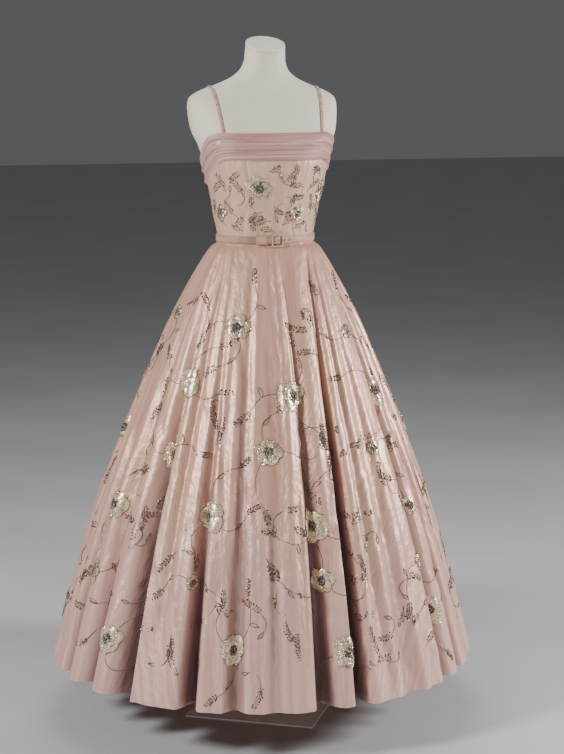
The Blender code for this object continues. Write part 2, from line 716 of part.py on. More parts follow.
def angle_at(hem_deg, z):
    """The angle that a line down the skirt has at a height: near the waist it drifts to its waist angle."""
    turned = (hem_deg + 180) % 360 - 180
    marks = [(fold[0], fold[1]) for fold in FOLDS]
    marks = [(marks[-1][0] - 360, marks[-1][1] - 360)] + marks
    low = max(i for i in range(len(marks) - 1) if marks[i][0] <= turned or i == 0)
    share = (turned - marks[low][0]) / (marks[low + 1][0] - marks[low][0])
    waist_deg = marks[low][1] + (marks[low + 1][1] - marks[low][1]) * share
    waist, here, hem = (skirt_value("half_width", h) for h in (WAIST_Z, z, HEM_Z))
    drift = ((waist / here) ** 2 - (waist / hem) ** 2) / (1 - (waist / hem) ** 2)
    return hem_deg + (waist_deg - turned) * drift


def skirt_point(hem_deg, z):
    return skirt_section(angle_at(hem_deg, z), z, -furrow(hem_deg, z))


def skirt_lines():
    """The hem angles of the lines that the skirt's mesh follows, and the piece that starts at each seam."""
    lines, seams = [], {}
    for fold in FOLDS:
        for step in WALL_STEPS:
            reach = fold[3] if step > 0 else fold[2]
            lines.append(fold[0] + step * reach)
        if fold[7]:
            seams[fold[0]] = fold[7]
    lines.sort()
    merged = []
    for line in lines:
        if merged and line - merged[-1] < CLOSEST_COLUMN_DEG and line not in seams:
            continue
        if merged and line in seams and line - merged[-1] < CLOSEST_COLUMN_DEG:
            merged.pop()
        merged.append(line)
    filled = []
    for i, line in enumerate(merged):
        filled.append(line)
        after = merged[i + 1] if i + 1 < len(merged) else merged[0] + 360
        gaps = ceil((after - line) / WIDEST_COLUMN_DEG)
        filled += [line + (after - line) * k / gaps for k in range(1, gaps)]
    return filled, seams


def offset_ring(points, distance):
    """A closed level ring moved in by that distance, its corners mitred."""
    moved = []
    count = len(points)
    for i, here in enumerate(points):
        before, after = points[i - 1], points[(i + 1) % count]
        first = Vector((here.y - before.y, before.x - here.x, 0)).normalized()
        second = Vector((after.y - here.y, here.x - after.x, 0)).normalized()
        middle = (first + second).normalized()
        reach = distance / max(middle.dot(first), 0.7)
        moved.append(here - middle * reach)
    return moved


def build_skirt():
    lines, seams = skirt_lines()
    start = lines.index(next(line for line in lines if line in seams))
    lines = lines[start:] + [line + 360 for line in lines[:start]]
    outer_rings = [[skirt_point(line, z) for line in lines] for z in SKIRT_ROWS_Z]
    inner_rings = [offset_ring(ring, SKIRT_THICKNESS) for ring in outer_rings]
    cuts = [i for i, line in enumerate(lines) if line in seams or line - 360 in seams] + [len(lines)]
    for first, last in zip(cuts, cuts[1:]):
        line = lines[first]
        piece = seams[line if line in seams else line - 360]
        outer, inner = [], []
        for rings, kept in ((outer_rings, outer), (inner_rings, inner)):
            for ring in rings:
                row = [ring[i % len(ring)].copy() for i in range(first, last + 1)]
                row[0] += (row[1] - row[0]).normalized() * (SEAM_GAP / 2)
                row[-1] += (row[-2] - row[-1]).normalized() * (SEAM_GAP / 2)
                kept.append(row)
        wall(piece, outer, inner, "silk")


clear_scene()
PARTS = bpy.data.collections.new("evening dress on dress form")
bpy.context.scene.collection.children.link(PARTS)
build_form()
build_stand()
build_bodice()
build_band()
build_straps()
build_belt()
build_buckle()
build_skirt()
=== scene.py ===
from math import ceil, cos, pi, radians, sin, tan

import bpy
import numpy as np
from mathutils import Matrix, Vector


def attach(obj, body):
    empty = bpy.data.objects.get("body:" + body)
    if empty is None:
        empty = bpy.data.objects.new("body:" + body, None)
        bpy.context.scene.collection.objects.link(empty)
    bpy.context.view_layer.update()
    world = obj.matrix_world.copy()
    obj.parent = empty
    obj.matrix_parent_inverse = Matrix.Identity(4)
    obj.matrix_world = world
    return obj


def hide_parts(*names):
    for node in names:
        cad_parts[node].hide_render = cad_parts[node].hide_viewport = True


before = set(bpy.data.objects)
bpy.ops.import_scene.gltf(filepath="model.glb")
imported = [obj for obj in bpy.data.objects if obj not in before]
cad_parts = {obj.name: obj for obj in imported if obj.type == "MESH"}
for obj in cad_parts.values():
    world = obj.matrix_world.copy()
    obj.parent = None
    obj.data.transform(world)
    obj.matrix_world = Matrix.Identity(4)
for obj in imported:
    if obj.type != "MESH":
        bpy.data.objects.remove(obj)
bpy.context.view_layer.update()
MM = 0.001
UP = Vector((0, 0, 1))

# Camera at the photograph's angle
camera_data = bpy.data.cameras.new("camera")
camera_data.sensor_width = 36
camera_data.lens = 92.4
camera = bpy.data.objects.new("camera", camera_data)
camera.location = (-1.025, -4.271, 1.564)
camera.rotation_euler = (radians(90 - 10.1), 0, radians(-14))
bpy.context.scene.collection.objects.link(camera)
bpy.context.scene.camera = camera

# The dress's own sizes, as its solids have them
WAIST_Z = 1.107
HEM_Z = 0.126
NECKLINE_FRONT_Z = 1.346
NECKLINE_BACK_Z = 1.252
NECKLINE_DIP, NECKLINE_DIP_DEG, NECKLINE_DIP_REACH_DEG = 12 * MM, -95, 40
NECKLINE_LEVEL_DEG = 42
BODICE_OUTER = 2.3 * MM
BAND_INNER = 3.2 * MM
BAND_RISE = 2.6 * MM
BAND_HEIGHT = 62 * MM
BAND_HEIGHT_BACK = 52 * MM
BELT_INNER = 4.2 * MM
BELT_THICKNESS = 2.4 * MM
BELT_HEIGHT = 19 * MM
BELT_START_DEG, BELT_LAP_DEG, BELT_CLIMB_DEG, BAR_BULGE_DEG = 5, 26, 16, 5
BUCKLE_DEG = 3
BUCKLE_WIDTH, BUCKLE_HEIGHT, BUCKLE_BAR, BUCKLE_THICKNESS = 28 * MM, 31 * MM, 4 * MM, 3 * MM
SEAM_GAP = 0.3 * MM
STRAP_GAP, STRAP_WIDTH, STRAP_THICKNESS = 0.8 * MM, 7 * MM, 2.2 * MM
SHOULDER_X, SHOULDER_Z, SHOULDER_BEND_Z, SHOULDER_TOP_Z = 0.1225, 1.443, 1.415, 1.46
NECK_TOP_Z, NECK_TILT_DEG, NECK_CAP_THICKNESS = 1.541, 17, 8 * MM
PLATE_SIDE, PLATE_THICKNESS, PLATE_TURN_DEG = 305 * MM, 4 * MM, -29

# What the looks add: lengths of cloth a degree, edges, the belt's free end, and painted shade in the skirt's
# folds and on the belt beside its free end
BODICE_PER_DEGREE = 2.0 * MM
BAND_PER_DEGREE = 2.2 * MM
CREASE_GAIN = 2.1
FOLD_DEPTH_FOR_FULL_PAINTED_SHADE = 38 * MM
MERGE_DISTANCE = 0.02 * MM
TAB_DEG, TAB_RISE, END_ROUND_DEG = 12.5, 0.9 * MM, 3.4
BELT_PAINTED_SHADOW, BELT_PAINTED_SHADOW_REACH_DEG = 0.55, 60
SKIRT_SHELL, BODICE_SHELL, BAND_SHELL = 1.2 * MM, 1.1 * MM, 0.9 * MM
SEAM_OPENING = 0.05
BAND_SWELL = 2.2 * MM
GOLDEN_ANGLE = 2.39996

FORM_COLUMNS = ("z", "half_width", "front_y", "middle_y", "back_y", "squareness")
FORM_SECTIONS = np.array((
    (0.900, 0.165, -0.115, 0.005, 0.125, 2.1),
    (0.950, 0.160, -0.114, 0.005, 0.123, 2.1),
    (1.000, 0.147, -0.109, 0.003, 0.114, 2.1),
    (1.050, 0.127, -0.097, 0.000, 0.097, 2.1),
    (1.0965, 0.1069, -0.0859, -0.0017, 0.0825, 2.0),
    (1.107, 0.1065, -0.0855, -0.0017, 0.082, 2.0),
    (1.1165, 0.1070, -0.0861, -0.0017, 0.0824, 2.0),
    (1.160, 0.1155, -0.097, 0.000, 0.088, 2.1),
    (1.205, 0.1225, -0.110, 0.000, 0.094, 2.1),
    (1.250, 0.1335, -0.124, 0.001, 0.100, 2.15),
    (1.284, 0.1415, -0.127, 0.004, 0.105, 2.2),
    (1.312, 0.149, -0.121, 0.010, 0.109, 2.25),
    (1.343, 0.163, -0.106, 0.018, 0.111, 2.3),
    (1.370, 0.1685, -0.090, 0.024, 0.111, 2.35),
    (1.396, 0.171, -0.073, 0.029, 0.106, 2.35),
    (1.411, 0.170, -0.063, 0.030, 0.101, 2.3),
    (1.423, 0.164, -0.054, 0.030, 0.095, 2.15),
    (1.436, 0.142, -0.046, 0.028, 0.087, 2.0),
    (1.450, 0.105, -0.041, 0.023, 0.077, 1.9),
    (1.463, 0.077, -0.040, 0.017, 0.068, 1.9),
    (1.476, 0.0595, -0.0415, 0.011, 0.061, 1.95),
    (1.490, 0.050, -0.0445, 0.006, 0.056, 2.0),
    (1.508, 0.0455, -0.0485, 0.000, 0.050, 2.0),
    (1.560, 0.0435, -0.0580, -0.009, 0.041, 2.0),
))
SKIRT_COLUMNS = ("z", "half_width", "half_depth", "middle_y")
SKIRT_SECTIONS = np.array((
    (0.126, 0.4930, 0.470, 0.030),
    (0.320, 0.4410, 0.423, 0.026),
    (0.500, 0.3860, 0.372, 0.022),
    (0.660, 0.3265, 0.316, 0.018),
    (0.790, 0.2740, 0.264, 0.014),
    (0.900, 0.2270, 0.215, 0.010),
    (0.980, 0.1870, 0.172, 0.006),
    (1.035, 0.1560, 0.138, 0.003),
    (1.068, 0.1360, 0.114, 0.001),
    (1.086, 0.1235, 0.100, 0.000),
    (1.0965, 0.1096, 0.0870, -0.0017),
    (1.107, 0.1088, 0.0861, -0.0017),
))
# Folds: angle at the hem and the waist, reach before and after, start, depth on the way and at the hem, mm
FOLDS = (
    (-167.0, -168.0, 5.0, 4.0, 1.02, 17, 36),
    (-154.0, -156.0, 3.5, 5.0, 1.06, 20, 44),
    (-143.0, -143.0, 3.5, 3.5, 1.03, 12, 30),
    (-131.0, -131.0, 5.5, 3.5, 1.06, 20, 46),
    (-117.5, -118.0, 3.5, 5.0, 1.00, 16, 38),
    (-104.5, -105.0, 4.5, 3.0, 1.04, 17, 40),
    (-92.0, -93.0, 4.0, 4.0, 1.00, 12, 28),
    (-79.5, -82.0, 4.5, 4.5, 0.98, 10, 28),
    (-66.5, -71.0, 6.5, 3.5, 1.00, 16, 36),
    (-51.6, -59.0, 8.5, 3.0, 1.075, 27, 54),
    (-43.0, -53.0, 4.0, 4.5, 1.085, 11, 0),
    (-32.4, -48.0, 3.6, 3.2, 1.03, 17, 46),
    (-20.0, -25.0, 4.6, 4.6, 1.085, 13, 22),
    (-9.5, -12.0, 4.5, 4.0, 1.06, 8, 9),
    (3.0, 2.0, 2.6, 6.2, 1.085, 22, 50),
    (14.0, 45.0, 2.8, 3.2, 1.085, 28, 66),
    (21.5, 51.0, 3.0, 3.5, 1.08, 8, 0),
    (29.5, 57.0, 4.5, 5.0, 1.06, 10, 13),
    (45.5, 66.0, 3.0, 3.2, 1.08, 19, 36),
    (55.5, 71.0, 4.0, 3.0, 1.03, 12, 25),
    (66.5, 77.0, 4.5, 3.8, 1.05, 16, 34),
    (78.5, 84.0, 3.5, 5.0, 1.00, 13, 38),
    (92.0, 93.0, 4.2, 4.0, 1.03, 14, 32),
    (104.5, 104.0, 3.0, 5.0, 1.05, 19, 44),
    (117.0, 117.0, 5.0, 3.5, 1.00, 13, 30),
    (130.0, 130.0, 3.5, 5.0, 1.06, 22, 50),
    (143.0, 143.0, 4.5, 4.0, 1.02, 13, 33),
    (155.5, 157.0, 3.5, 4.5, 1.04, 19, 46),
    (168.0, 169.0, 4.0, 5.0, 1.00, 14, 36),
    (180.0, 180.0, 4.0, 4.0, 0.90, 14, 38),
)
SKIRT_PIECES = (
    ("skirt_side_back_right", -143.0, -92.0), ("skirt_side_front_right", -92.0, -51.6),
    ("skirt_front", -51.6, 45.5), ("skirt_side_front_left", 45.5, 92.0),
    ("skirt_side_back_left", 92.0, 143.0), ("skirt_back_left", 143.0, 180.0),
    ("skirt_back_right", -180.0, -143.0),
)
BODICE_PIECES = (
    ("bodice_back_right", -180, -90, -180, -90), ("bodice_side_front_right", -90, -24, -90, -27),
    ("bodice_front", -24, 24, -27, 27), ("bodice_side_front_left", 24, 90, 27, 90),
    ("bodice_back_left", 90, 180, 90, 180),
)
BAND_PIECES = (("band_back_right", -180, -90), ("band_front", -90, 90), ("band_back_left", 90, 180))
# Pleats of the band: share of its depth at the folded edge, reach, slant, wave, phase, rise
PLEATS = (
    (0.10, 0.13, 0.00, 0.020, 20, 0.55), (0.26, 0.16, 0.07, 0.035, 80, 0.85),
    (0.44, 0.19, -0.10, 0.040, 160, 0.70), (0.60, 0.17, 0.10, 0.035, 230, 0.95),
    (0.76, 0.15, -0.05, 0.030, 300, 0.75), (0.93, 0.16, 0.03, 0.012, 0, 1.0),
)
# Round the belt's section: share of its half height, share of its depth
BELT_OUTLINE = (
    (-1, 0.12), (-0.97, 0.72), (-0.88, 1.0), (-0.5, 1.06), (0, 1.08), (0.5, 1.06), (0.88, 1.0), (0.97, 0.72),
    (1, 0.12), (0.9, 0), (0, 0), (-0.9, 0), (-1, 0.12),
)
# Creases: angle and height of the middle, half length and half width in mm, lean, depth in mm
SKIRT_CREASES = (
    (-97, 0.300, 90, 10, -28, 4.0), (-90, 0.520, 70, 10, 24, 3.2), (-84, 0.200, 60, 11, -40, 3.4),
    (-80, 0.640, 80, 9, -14, 3.6), (-74, 0.400, 60, 11, 46, 3.0), (-71, 0.780, 60, 9, -10, 3.0),
    (-67, 0.560, 90, 10, -20, 4.4), (-62, 0.280, 70, 11, 34, -3.0), (-59, 0.690, 70, 9, -26, 4.0),
    (-55, 0.480, 80, 10, -12, 4.6), (-47, 0.610, 60, 10, 40, 3.4), (-45, 0.340, 80, 12, -22, 3.6),
    (-40, 0.760, 60, 9, -16, 3.0), (-37, 0.500, 50, 10, 58, 3.0), (-35, 0.220, 60, 12, 30, -3.2),
    (-28, 0.640, 80, 9, -8, 3.6), (-26, 0.380, 70, 11, 26, 3.6), (-23, 0.860, 60, 8, -12, 2.6),
    (-16, 0.540, 70, 10, -34, 3.4), (-14, 0.270, 80, 11, 14, 3.8), (-11, 0.720, 60, 9, 22, 3.0),
    (-4, 0.440, 60, 11, 52, 3.0), (-2, 0.800, 60, 8, -10, 2.8), (1, 0.610, 70, 10, 16, 3.6),
    (7, 0.320, 80, 11, -30, 4.0), (8, 0.680, 50, 10, -52, 3.2), (11, 0.520, 60, 9, 20, 3.8),
    (18, 0.400, 60, 11, -46, 3.6), (20, 0.760, 60, 8, 12, 2.8), (24, 0.600, 80, 10, 28, 4.0),
    (27, 0.240, 70, 12, -24, 3.8), (31, 0.480, 50, 10, 60, 3.4), (35, 0.340, 80, 11, 18, 4.2),
    (38, 0.660, 70, 9, 24, 3.6), (42, 0.200, 60, 11, -36, -3.2), (48, 0.540, 80, 10, 22, 4.2),
    (51, 0.360, 60, 11, -42, 3.4), (58, 0.720, 70, 9, 16, 3.4), (60, 0.460, 70, 10, 34, 3.8),
    (64, 0.260, 70, 12, -20, 3.8), (71, 0.600, 70, 10, 26, 3.4), (75, 0.380, 70, 11, -34, 3.6),
    (86, 0.500, 80, 10, 20, 3.8), (90, 0.240, 70, 12, 38, 3.2), (98, 0.660, 70, 9, -18, 3.4),
    (110, 0.360, 80, 11, 26, 3.8), (114, 0.560, 60, 10, -38, 3.2), (124, 0.240, 80, 12, -16, 4.0),
    (136, 0.460, 70, 10, 30, 3.6), (146, 0.300, 70, 11, -28, 3.6), (150, 0.640, 70, 9, 18, 3.2),
    (162, 0.400, 80, 11, 22, 3.8), (174, 0.540, 70, 10, -24, 3.4), (-172, 0.280, 80, 11, 32, 3.6),
    (-160, 0.480, 70, 10, -20, 3.6), (-148, 0.360, 70, 11, 28, 3.6), (-136, 0.580, 70, 10, -26, 3.4),
    (-126, 0.260, 80, 12, 18, 3.8), (-112, 0.440, 70, 10, -30, 3.6), (-108, 0.660, 60, 9, 20, 3.2),
)
# Creases of the bodice, in the same columns
BODICE_CREASES = (
    (-15, 1.145, 34, 4.0, 12, 0.9), (-4, 1.138, 26, 3.0, -6, 0.7), (9, 1.150, 38, 4.0, 8, 0.9),
    (20, 1.140, 28, 3.2, -14, 0.8), (-34, 1.150, 36, 4.4, 16, 1.0), (-52, 1.160, 34, 4.0, -10, 0.9),
    (36, 1.155, 34, 4.0, 12, 1.0), (54, 1.148, 30, 3.6, -8, 0.9), (-6, 1.215, 30, 5.0, 70, 0.6),
    (14, 1.225, 34, 5.0, -64, 0.7), (-28, 1.222, 30, 5.0, 60, 0.7), (34, 1.218, 28, 5.0, -58, 0.7),
    (-70, 1.190, 36, 4.5, 20, 1.0), (72, 1.185, 34, 4.5, -22, 1.0), (100, 1.165, 38, 4.2, 14, 1.0),
    (-104, 1.160, 36, 4.2, -12, 1.0), (128, 1.150, 30, 3.6, 8, 0.9), (-132, 1.155, 32, 3.8, -10, 0.9),
    (156, 1.145, 30, 3.4, 6, 0.8), (-158, 1.150, 28, 3.4, -6, 0.8), (2, 1.200, 44, 5.0, 48, 0.9),
    (-20, 1.172, 40, 4.6, -52, 0.8), (26, 1.192, 40, 4.6, 40, 0.9), (44, 1.225, 34, 4.6, -36, 0.8),
    (-44, 1.192, 40, 4.8, -44, 0.9), (12, 1.168, 36, 4.4, -38, 0.8), (-58, 1.232, 32, 4.6, 40, 0.8),
)
# Rounds of flowers on the skirt: height, how many, the first one's angle, size in mm, petals
FLOWER_ROUNDS = (
    (0.925, 6, -24, 58, 6), (0.790, 7, -52, 70, 7), (0.655, 8, -8, 56, 6), (0.530, 9, -34, 74, 7),
    (0.390, 9, 4, 56, 6), (0.265, 10, -22, 68, 7),
)
# Flowers on the bodice: angle, height, size in mm, layers of petals
BODICE_FLOWERS = (
    (-17, 1.226, 54, 2), (24, 1.166, 34, 1), (62, 1.216, 50, 2), (-66, 1.170, 32, 1), (112, 1.160, 44, 2),
    (-118, 1.168, 44, 2), (160, 1.150, 28, 1), (-156, 1.146, 28, 1),
)
# Sprigs on the bodice: angle, height, heading, length in mm, bend
BODICE_SPRIGS = (
    (-34, 1.205, 100, 52, 0.8), (-42, 1.160, 150, 44, -0.6), (4, 1.238, 20, 40, 0.9),
    (10, 1.205, -20, 44, 0.7), (34, 1.215, 60, 42, -0.8), (-4, 1.150, 170, 38, 0.7), (8, 1.140, 30, 42, 0.5),
    (44, 1.160, 80, 48, 0.6), (-22, 1.160, 250, 30, 0.4), (-56, 1.215, 90, 44, 0.8),
    (50, 1.250, 130, 36, 0.6), (-78, 1.205, 60, 46, -0.7), (80, 1.170, 100, 46, 0.6),
    (96, 1.200, 60, 40, -0.6), (-96, 1.200, 110, 40, 0.6), (132, 1.175, 90, 40, 0.5),
    (-138, 1.170, 90, 40, -0.5), (148, 1.140, 60, 34, 0.5), (-100, 1.145, 100, 34, 0.5),
    (174, 1.165, 95, 34, 0.4), (-172, 1.135, 85, 32, -0.4), (18, 1.255, 100, 20, 0.3),
    (-50, 1.135, 30, 32, 0.5), (60, 1.135, 60, 32, -0.4), (-2, 1.185, -60, 30, 0.8),
    (28, 1.225, 150, 34, 0.7), (-30, 1.145, 40, 36, -0.6), (40, 1.190, -40, 30, 0.6),
    (-8, 1.262, 10, 26, 0.5), (16, 1.180, 95, 30, -0.7), (-14, 1.172, 200, 34, 0.6),
    (0, 1.128, 160, 30, 0.4), (22, 1.132, 10, 30, 0.5), (-24, 1.178, 110, 26, -0.5),
    (52, 1.178, 10, 32, 0.7), (34, 1.262, 20, 28, -0.5), (-48, 1.235, 60, 34, -0.6),
    (-62, 1.138, 120, 32, 0.5), (70, 1.150, 150, 32, -0.5), (84, 1.225, 100, 32, 0.5),
    (-84, 1.160, 60, 34, 0.6), (12, 1.226, 60, 26, 0.6), (-36, 1.128, 170, 28, -0.4),
    (6, 1.165, -10, 28, 0.6),
)
# Stems with a looped leaf on the bodice, in the same columns
BODICE_LEAVES = (
    (6, 1.190, 200, 36, 1.6), (14, 1.232, 190, 34, -1.4), (-40, 1.185, 20, 34, 1.5),
    (46, 1.232, 170, 30, -1.5), (-60, 1.195, 10, 32, 1.2), (90, 1.180, 170, 34, 1.3),
    (-90, 1.180, 10, 34, -1.3), (30, 1.150, 10, 30, -1.4),
)

def offset_deg(angle, middle=0.0):
    """The turn from the middle to an angle, between -180 and 180 degrees."""
    return (np.asarray(angle, float) - middle + 180) % 360 - 180


def sin_deg(angle):
    return np.sin(np.radians(angle))


def read_column(table, names, column, z):
    """One column of a table at the heights z, on a smooth curve through its rows."""
    heights, values = table[:, 0], table[:, names.index(column)]
    z = np.clip(z, heights[0], heights[-1])
    before = np.maximum(np.arange(len(heights)) - 1, 0)
    after = np.minimum(np.arange(len(heights)) + 1, len(heights) - 1)
    slopes = (values[after] - values[before]) / (heights[after] - heights[before])
    low = np.clip(np.searchsorted(heights, z, side="right") - 1, 0, len(heights) - 2)
    span = heights[low + 1] - heights[low]
    s = (z - heights[low]) / span
    return (values[low] * (2 * s**3 - 3 * s**2 + 1) + slopes[low] * span * (s**3 - 2 * s**2 + s)
            + values[low + 1] * (3 * s**2 - 2 * s**3) + slopes[low + 1] * span * (s**3 - s**2))


def form_value(column, z):
    return read_column(FORM_SECTIONS, FORM_COLUMNS, column, z)


def skirt_value(column, z):
    return read_column(SKIRT_SECTIONS, SKIRT_COLUMNS, column, z)


def on_form(angle, z, out=0.0):
    """Points at those angles and heights, that far out from the form."""
    angle, z, out = np.broadcast_arrays(*(np.asarray(v, float) for v in (angle, z, out)))
    across, along = np.sin(np.radians(angle)), np.cos(np.radians(angle))
    power = 2 / form_value("squareness", z)
    middle = form_value("middle_y", z)
    depth = np.where(along > 0, middle - form_value("front_y", z), form_value("back_y", z) - middle)
    x = (form_value("half_width", z) + out) * np.sign(across) * np.abs(across) ** power
    y = middle - (depth + out) * np.sign(along) * np.abs(along) ** power
    return np.stack([x, y, z], -1)


def neckline_z(angle):
    fall = np.clip((np.abs(offset_deg(angle)) - NECKLINE_LEVEL_DEG) / (180 - NECKLINE_LEVEL_DEG), 0, 1)
    from_dip = np.abs(offset_deg(angle, NECKLINE_DIP_DEG)) / NECKLINE_DIP_REACH_DEG
    dip = NECKLINE_DIP * (1 + np.cos(pi * np.minimum(from_dip, 1))) / 2
    return NECKLINE_FRONT_Z + (NECKLINE_BACK_Z - NECKLINE_FRONT_Z) * (1 - np.cos(pi * fall**0.75)) / 2 - dip


def band_height(angle):
    return BAND_HEIGHT + (BAND_HEIGHT_BACK - BAND_HEIGHT) * (np.abs(offset_deg(angle)) / 180) ** 1.5


def share_up(z):
    """How far up the bodice a height lies, from the waist to the band's lower edge."""
    return np.clip((z - WAIST_Z) / (NECKLINE_FRONT_Z - BAND_HEIGHT - WAIST_Z), 0, 1)


def fold_depth(z, start_z, swell, at_hem):
    down = (start_z - z) / (start_z - HEM_Z)
    depth = swell * MM * 4 * down * (1 - down) + at_hem * MM * down * (2 * down - 1)
    return np.where(down > 0, np.maximum(depth, 0), 0)


def furrow(hem_deg, z):
    """How far the folds draw the cloth in along each line down the skirt."""
    total = np.zeros(np.broadcast(hem_deg, z).shape)
    for middle_deg, _, before, after, start_z, swell, at_hem in FOLDS:
        away = offset_deg(hem_deg, middle_deg)
        share = np.abs(away / np.where(away > 0, after, before))
        hollow = ((1 + np.cos(pi * np.minimum(share, 1))) / 2) ** 1.25
        total = total + fold_depth(z, start_z, swell, at_hem) * hollow
    return total * (1.2 + 0.8 * np.exp(-(((z - 1.04) / 0.05) ** 2)))


def angle_at(hem_deg, z):
    """Where the line that ends at an angle of the hem lies at the height z."""
    marks = np.array([(FOLDS[-1][0] - 360, FOLDS[-1][1] - 360)] + [(f[0], f[1]) for f in FOLDS])
    turned = offset_deg(hem_deg)
    waist_deg = np.interp(turned, marks[:, 0], marks[:, 1])
    waist, here, hem = (skirt_value("half_width", height) for height in (WAIST_Z, z, HEM_Z))
    drift = ((waist / here) ** 2 - (waist / hem) ** 2) / (1 - (waist / hem) ** 2)
    return hem_deg + (waist_deg - turned) * drift


def skirt_ripple(hem_deg, z):
    """Small soft waves in the cloth between the folds, uneven round the skirt and strongest low down."""
    low = np.clip((1.03 - z) / 0.5, 0, 1) ** 0.8
    swing = 100 * sin_deg(hem_deg * 9 + 40) + 50 * np.sin(z * 5.1)
    near_belt = np.clip((1.10 - z) / 0.035, 0, 1) * np.clip((z - 0.86) / 0.16, 0, 1)
    uneven = 0.55 + 0.45 * sin_deg(hem_deg * 4.0 + 150 * z)
    wave = 4.2 * sin_deg(hem_deg * 37.0 + swing) * low * uneven
    fine = 1.8 * sin_deg(hem_deg * 67.0 + 160 * z) * low
    wave = wave + fine * np.sin(z * 6 + hem_deg * 0.11) ** 2
    gathers = sin_deg(hem_deg * 23.0 + 110 * sin_deg(hem_deg * 7)) + 0.25
    return (wave + 2.0 * gathers * near_belt) * MM


def creases_at(table, angle, z, per_degree, skew=0.0):
    """How deep a table's separate creases lie; the skew makes one side of each the steeper."""
    total = np.zeros(angle.shape)
    for middle_deg, height, half_long, half_wide, lean, depth in table:
        x, y = offset_deg(angle, middle_deg) * per_degree, z - height
        c, s = cos(radians(lean)), sin(radians(lean))
        along, across = (y * c + x * s) / (half_long * MM), (x * c - y * s) / (half_wide * MM)
        total += depth * MM * np.exp(-(along**2) - across**2) * (1 + skew * across)
    return total


def skirt_at(hem_deg, z, out=0.0):
    """Points of the skirt's outer side, folds, ripples and creases included."""
    hem_deg, z = np.broadcast_arrays(np.asarray(hem_deg, float), np.asarray(z, float))
    angle = np.radians(angle_at(hem_deg, z))
    wide, deep = skirt_value("half_width", z), skirt_value("half_depth", z)
    away = np.stack([np.sin(angle) / wide, -np.cos(angle) / deep], -1)
    away = away / np.linalg.norm(away, axis=-1, keepdims=True)
    small = skirt_ripple(hem_deg, z) + creases_at(SKIRT_CREASES, hem_deg, z, wide * radians(1), 0.35)
    reach = out - furrow(hem_deg, z) - small * np.clip((WAIST_Z - z) / 0.03, 0, 1)
    x = wide * np.sin(angle) + away[..., 0] * reach
    y = skirt_value("middle_y", z) - deep * np.cos(angle) + away[..., 1] * reach
    return np.stack([x, y, z], -1)


def bodice_at(angle, z, out=0.0):
    """Points of the bodice's outer side, creases included."""
    angle, z = np.broadcast_arrays(np.asarray(angle, float), np.asarray(z, float))
    sunk = CREASE_GAIN * creases_at(BODICE_CREASES, angle, z, BODICE_PER_DEGREE)
    return on_form(angle, z, BODICE_OUTER + 1.0 * MM - sunk + out)


# Finishes
def new_material(name, roughness, metallic=0.0, **sockets):
    """A node material, its tree and its shader."""
    material = bpy.data.materials.new(name)
    material.use_nodes = True
    shader = material.node_tree.nodes["Principled BSDF"]
    shader.inputs["Roughness"].default_value = roughness
    shader.inputs["Metallic"].default_value = metallic
    for socket, value in sockets.items():
        shader.inputs[socket.replace("_", " ")].default_value = value
    return material, material.node_tree, shader


def pattern(tree, source, scale, detail, kind="FBM"):
    """A noise read from the given coordinates, stretched by a scale for each axis."""
    stretch = tree.nodes.new("ShaderNodeMapping")
    stretch.inputs["Scale"].default_value = scale
    tree.links.new(source, stretch.inputs["Vector"])
    texture = tree.nodes.new("ShaderNodeTexNoise")
    texture.noise_type = kind
    texture.inputs["Scale"].default_value = 1.0
    texture.inputs["Detail"].default_value = detail
    tree.links.new(stretch.outputs["Vector"], texture.inputs["Vector"])
    return texture.outputs["Fac"]


def blend(tree, factor, low, high, start, end):
    """A colour that runs between two with a pattern."""
    ramp = tree.nodes.new("ShaderNodeValToRGB")
    first, last = ramp.color_ramp.elements
    first.position, last.position = start, end
    first.color, last.color = (*low, 1), (*high, 1)
    tree.links.new(factor, ramp.inputs["Fac"])
    return ramp.outputs["Color"]


def mix(tree, factor, first, second, mode="MIX"):
    node = tree.nodes.new("ShaderNodeMix")
    node.data_type, node.blend_type = "RGBA", mode
    if isinstance(factor, float):
        node.inputs[0].default_value = factor
    else:
        tree.links.new(factor, node.inputs[0])
    tree.links.new(first, node.inputs[6])
    tree.links.new(second, node.inputs[7])
    return node.outputs[2]


def raise_surface(tree, shader, steps):
    """Bumps one over the other: each a pattern, its strength and its height in metres."""
    normal = None
    for height, strength, distance in steps:
        bump = tree.nodes.new("ShaderNodeBump")
        bump.inputs["Strength"].default_value = strength
        bump.inputs["Distance"].default_value = distance
        tree.links.new(height, bump.inputs["Height"])
        if normal is not None:
            tree.links.new(normal, bump.inputs["Normal"])
        normal = bump.outputs["Normal"]
    tree.links.new(normal, shader.inputs["Normal"])


def vary_roughness(tree, shader, factor, low, high):
    spread = tree.nodes.new("ShaderNodeMapRange")
    spread.inputs["To Min"].default_value = low
    spread.inputs["To Max"].default_value = high
    tree.links.new(factor, spread.inputs["Value"])
    tree.links.new(spread.outputs["Result"], shader.inputs["Roughness"])


def cloth_coordinates(tree):
    return tree.nodes.new("ShaderNodeUVMap").outputs["UV"]


def object_coordinates(tree):
    return tree.nodes.new("ShaderNodeTexCoord").outputs["Object"]


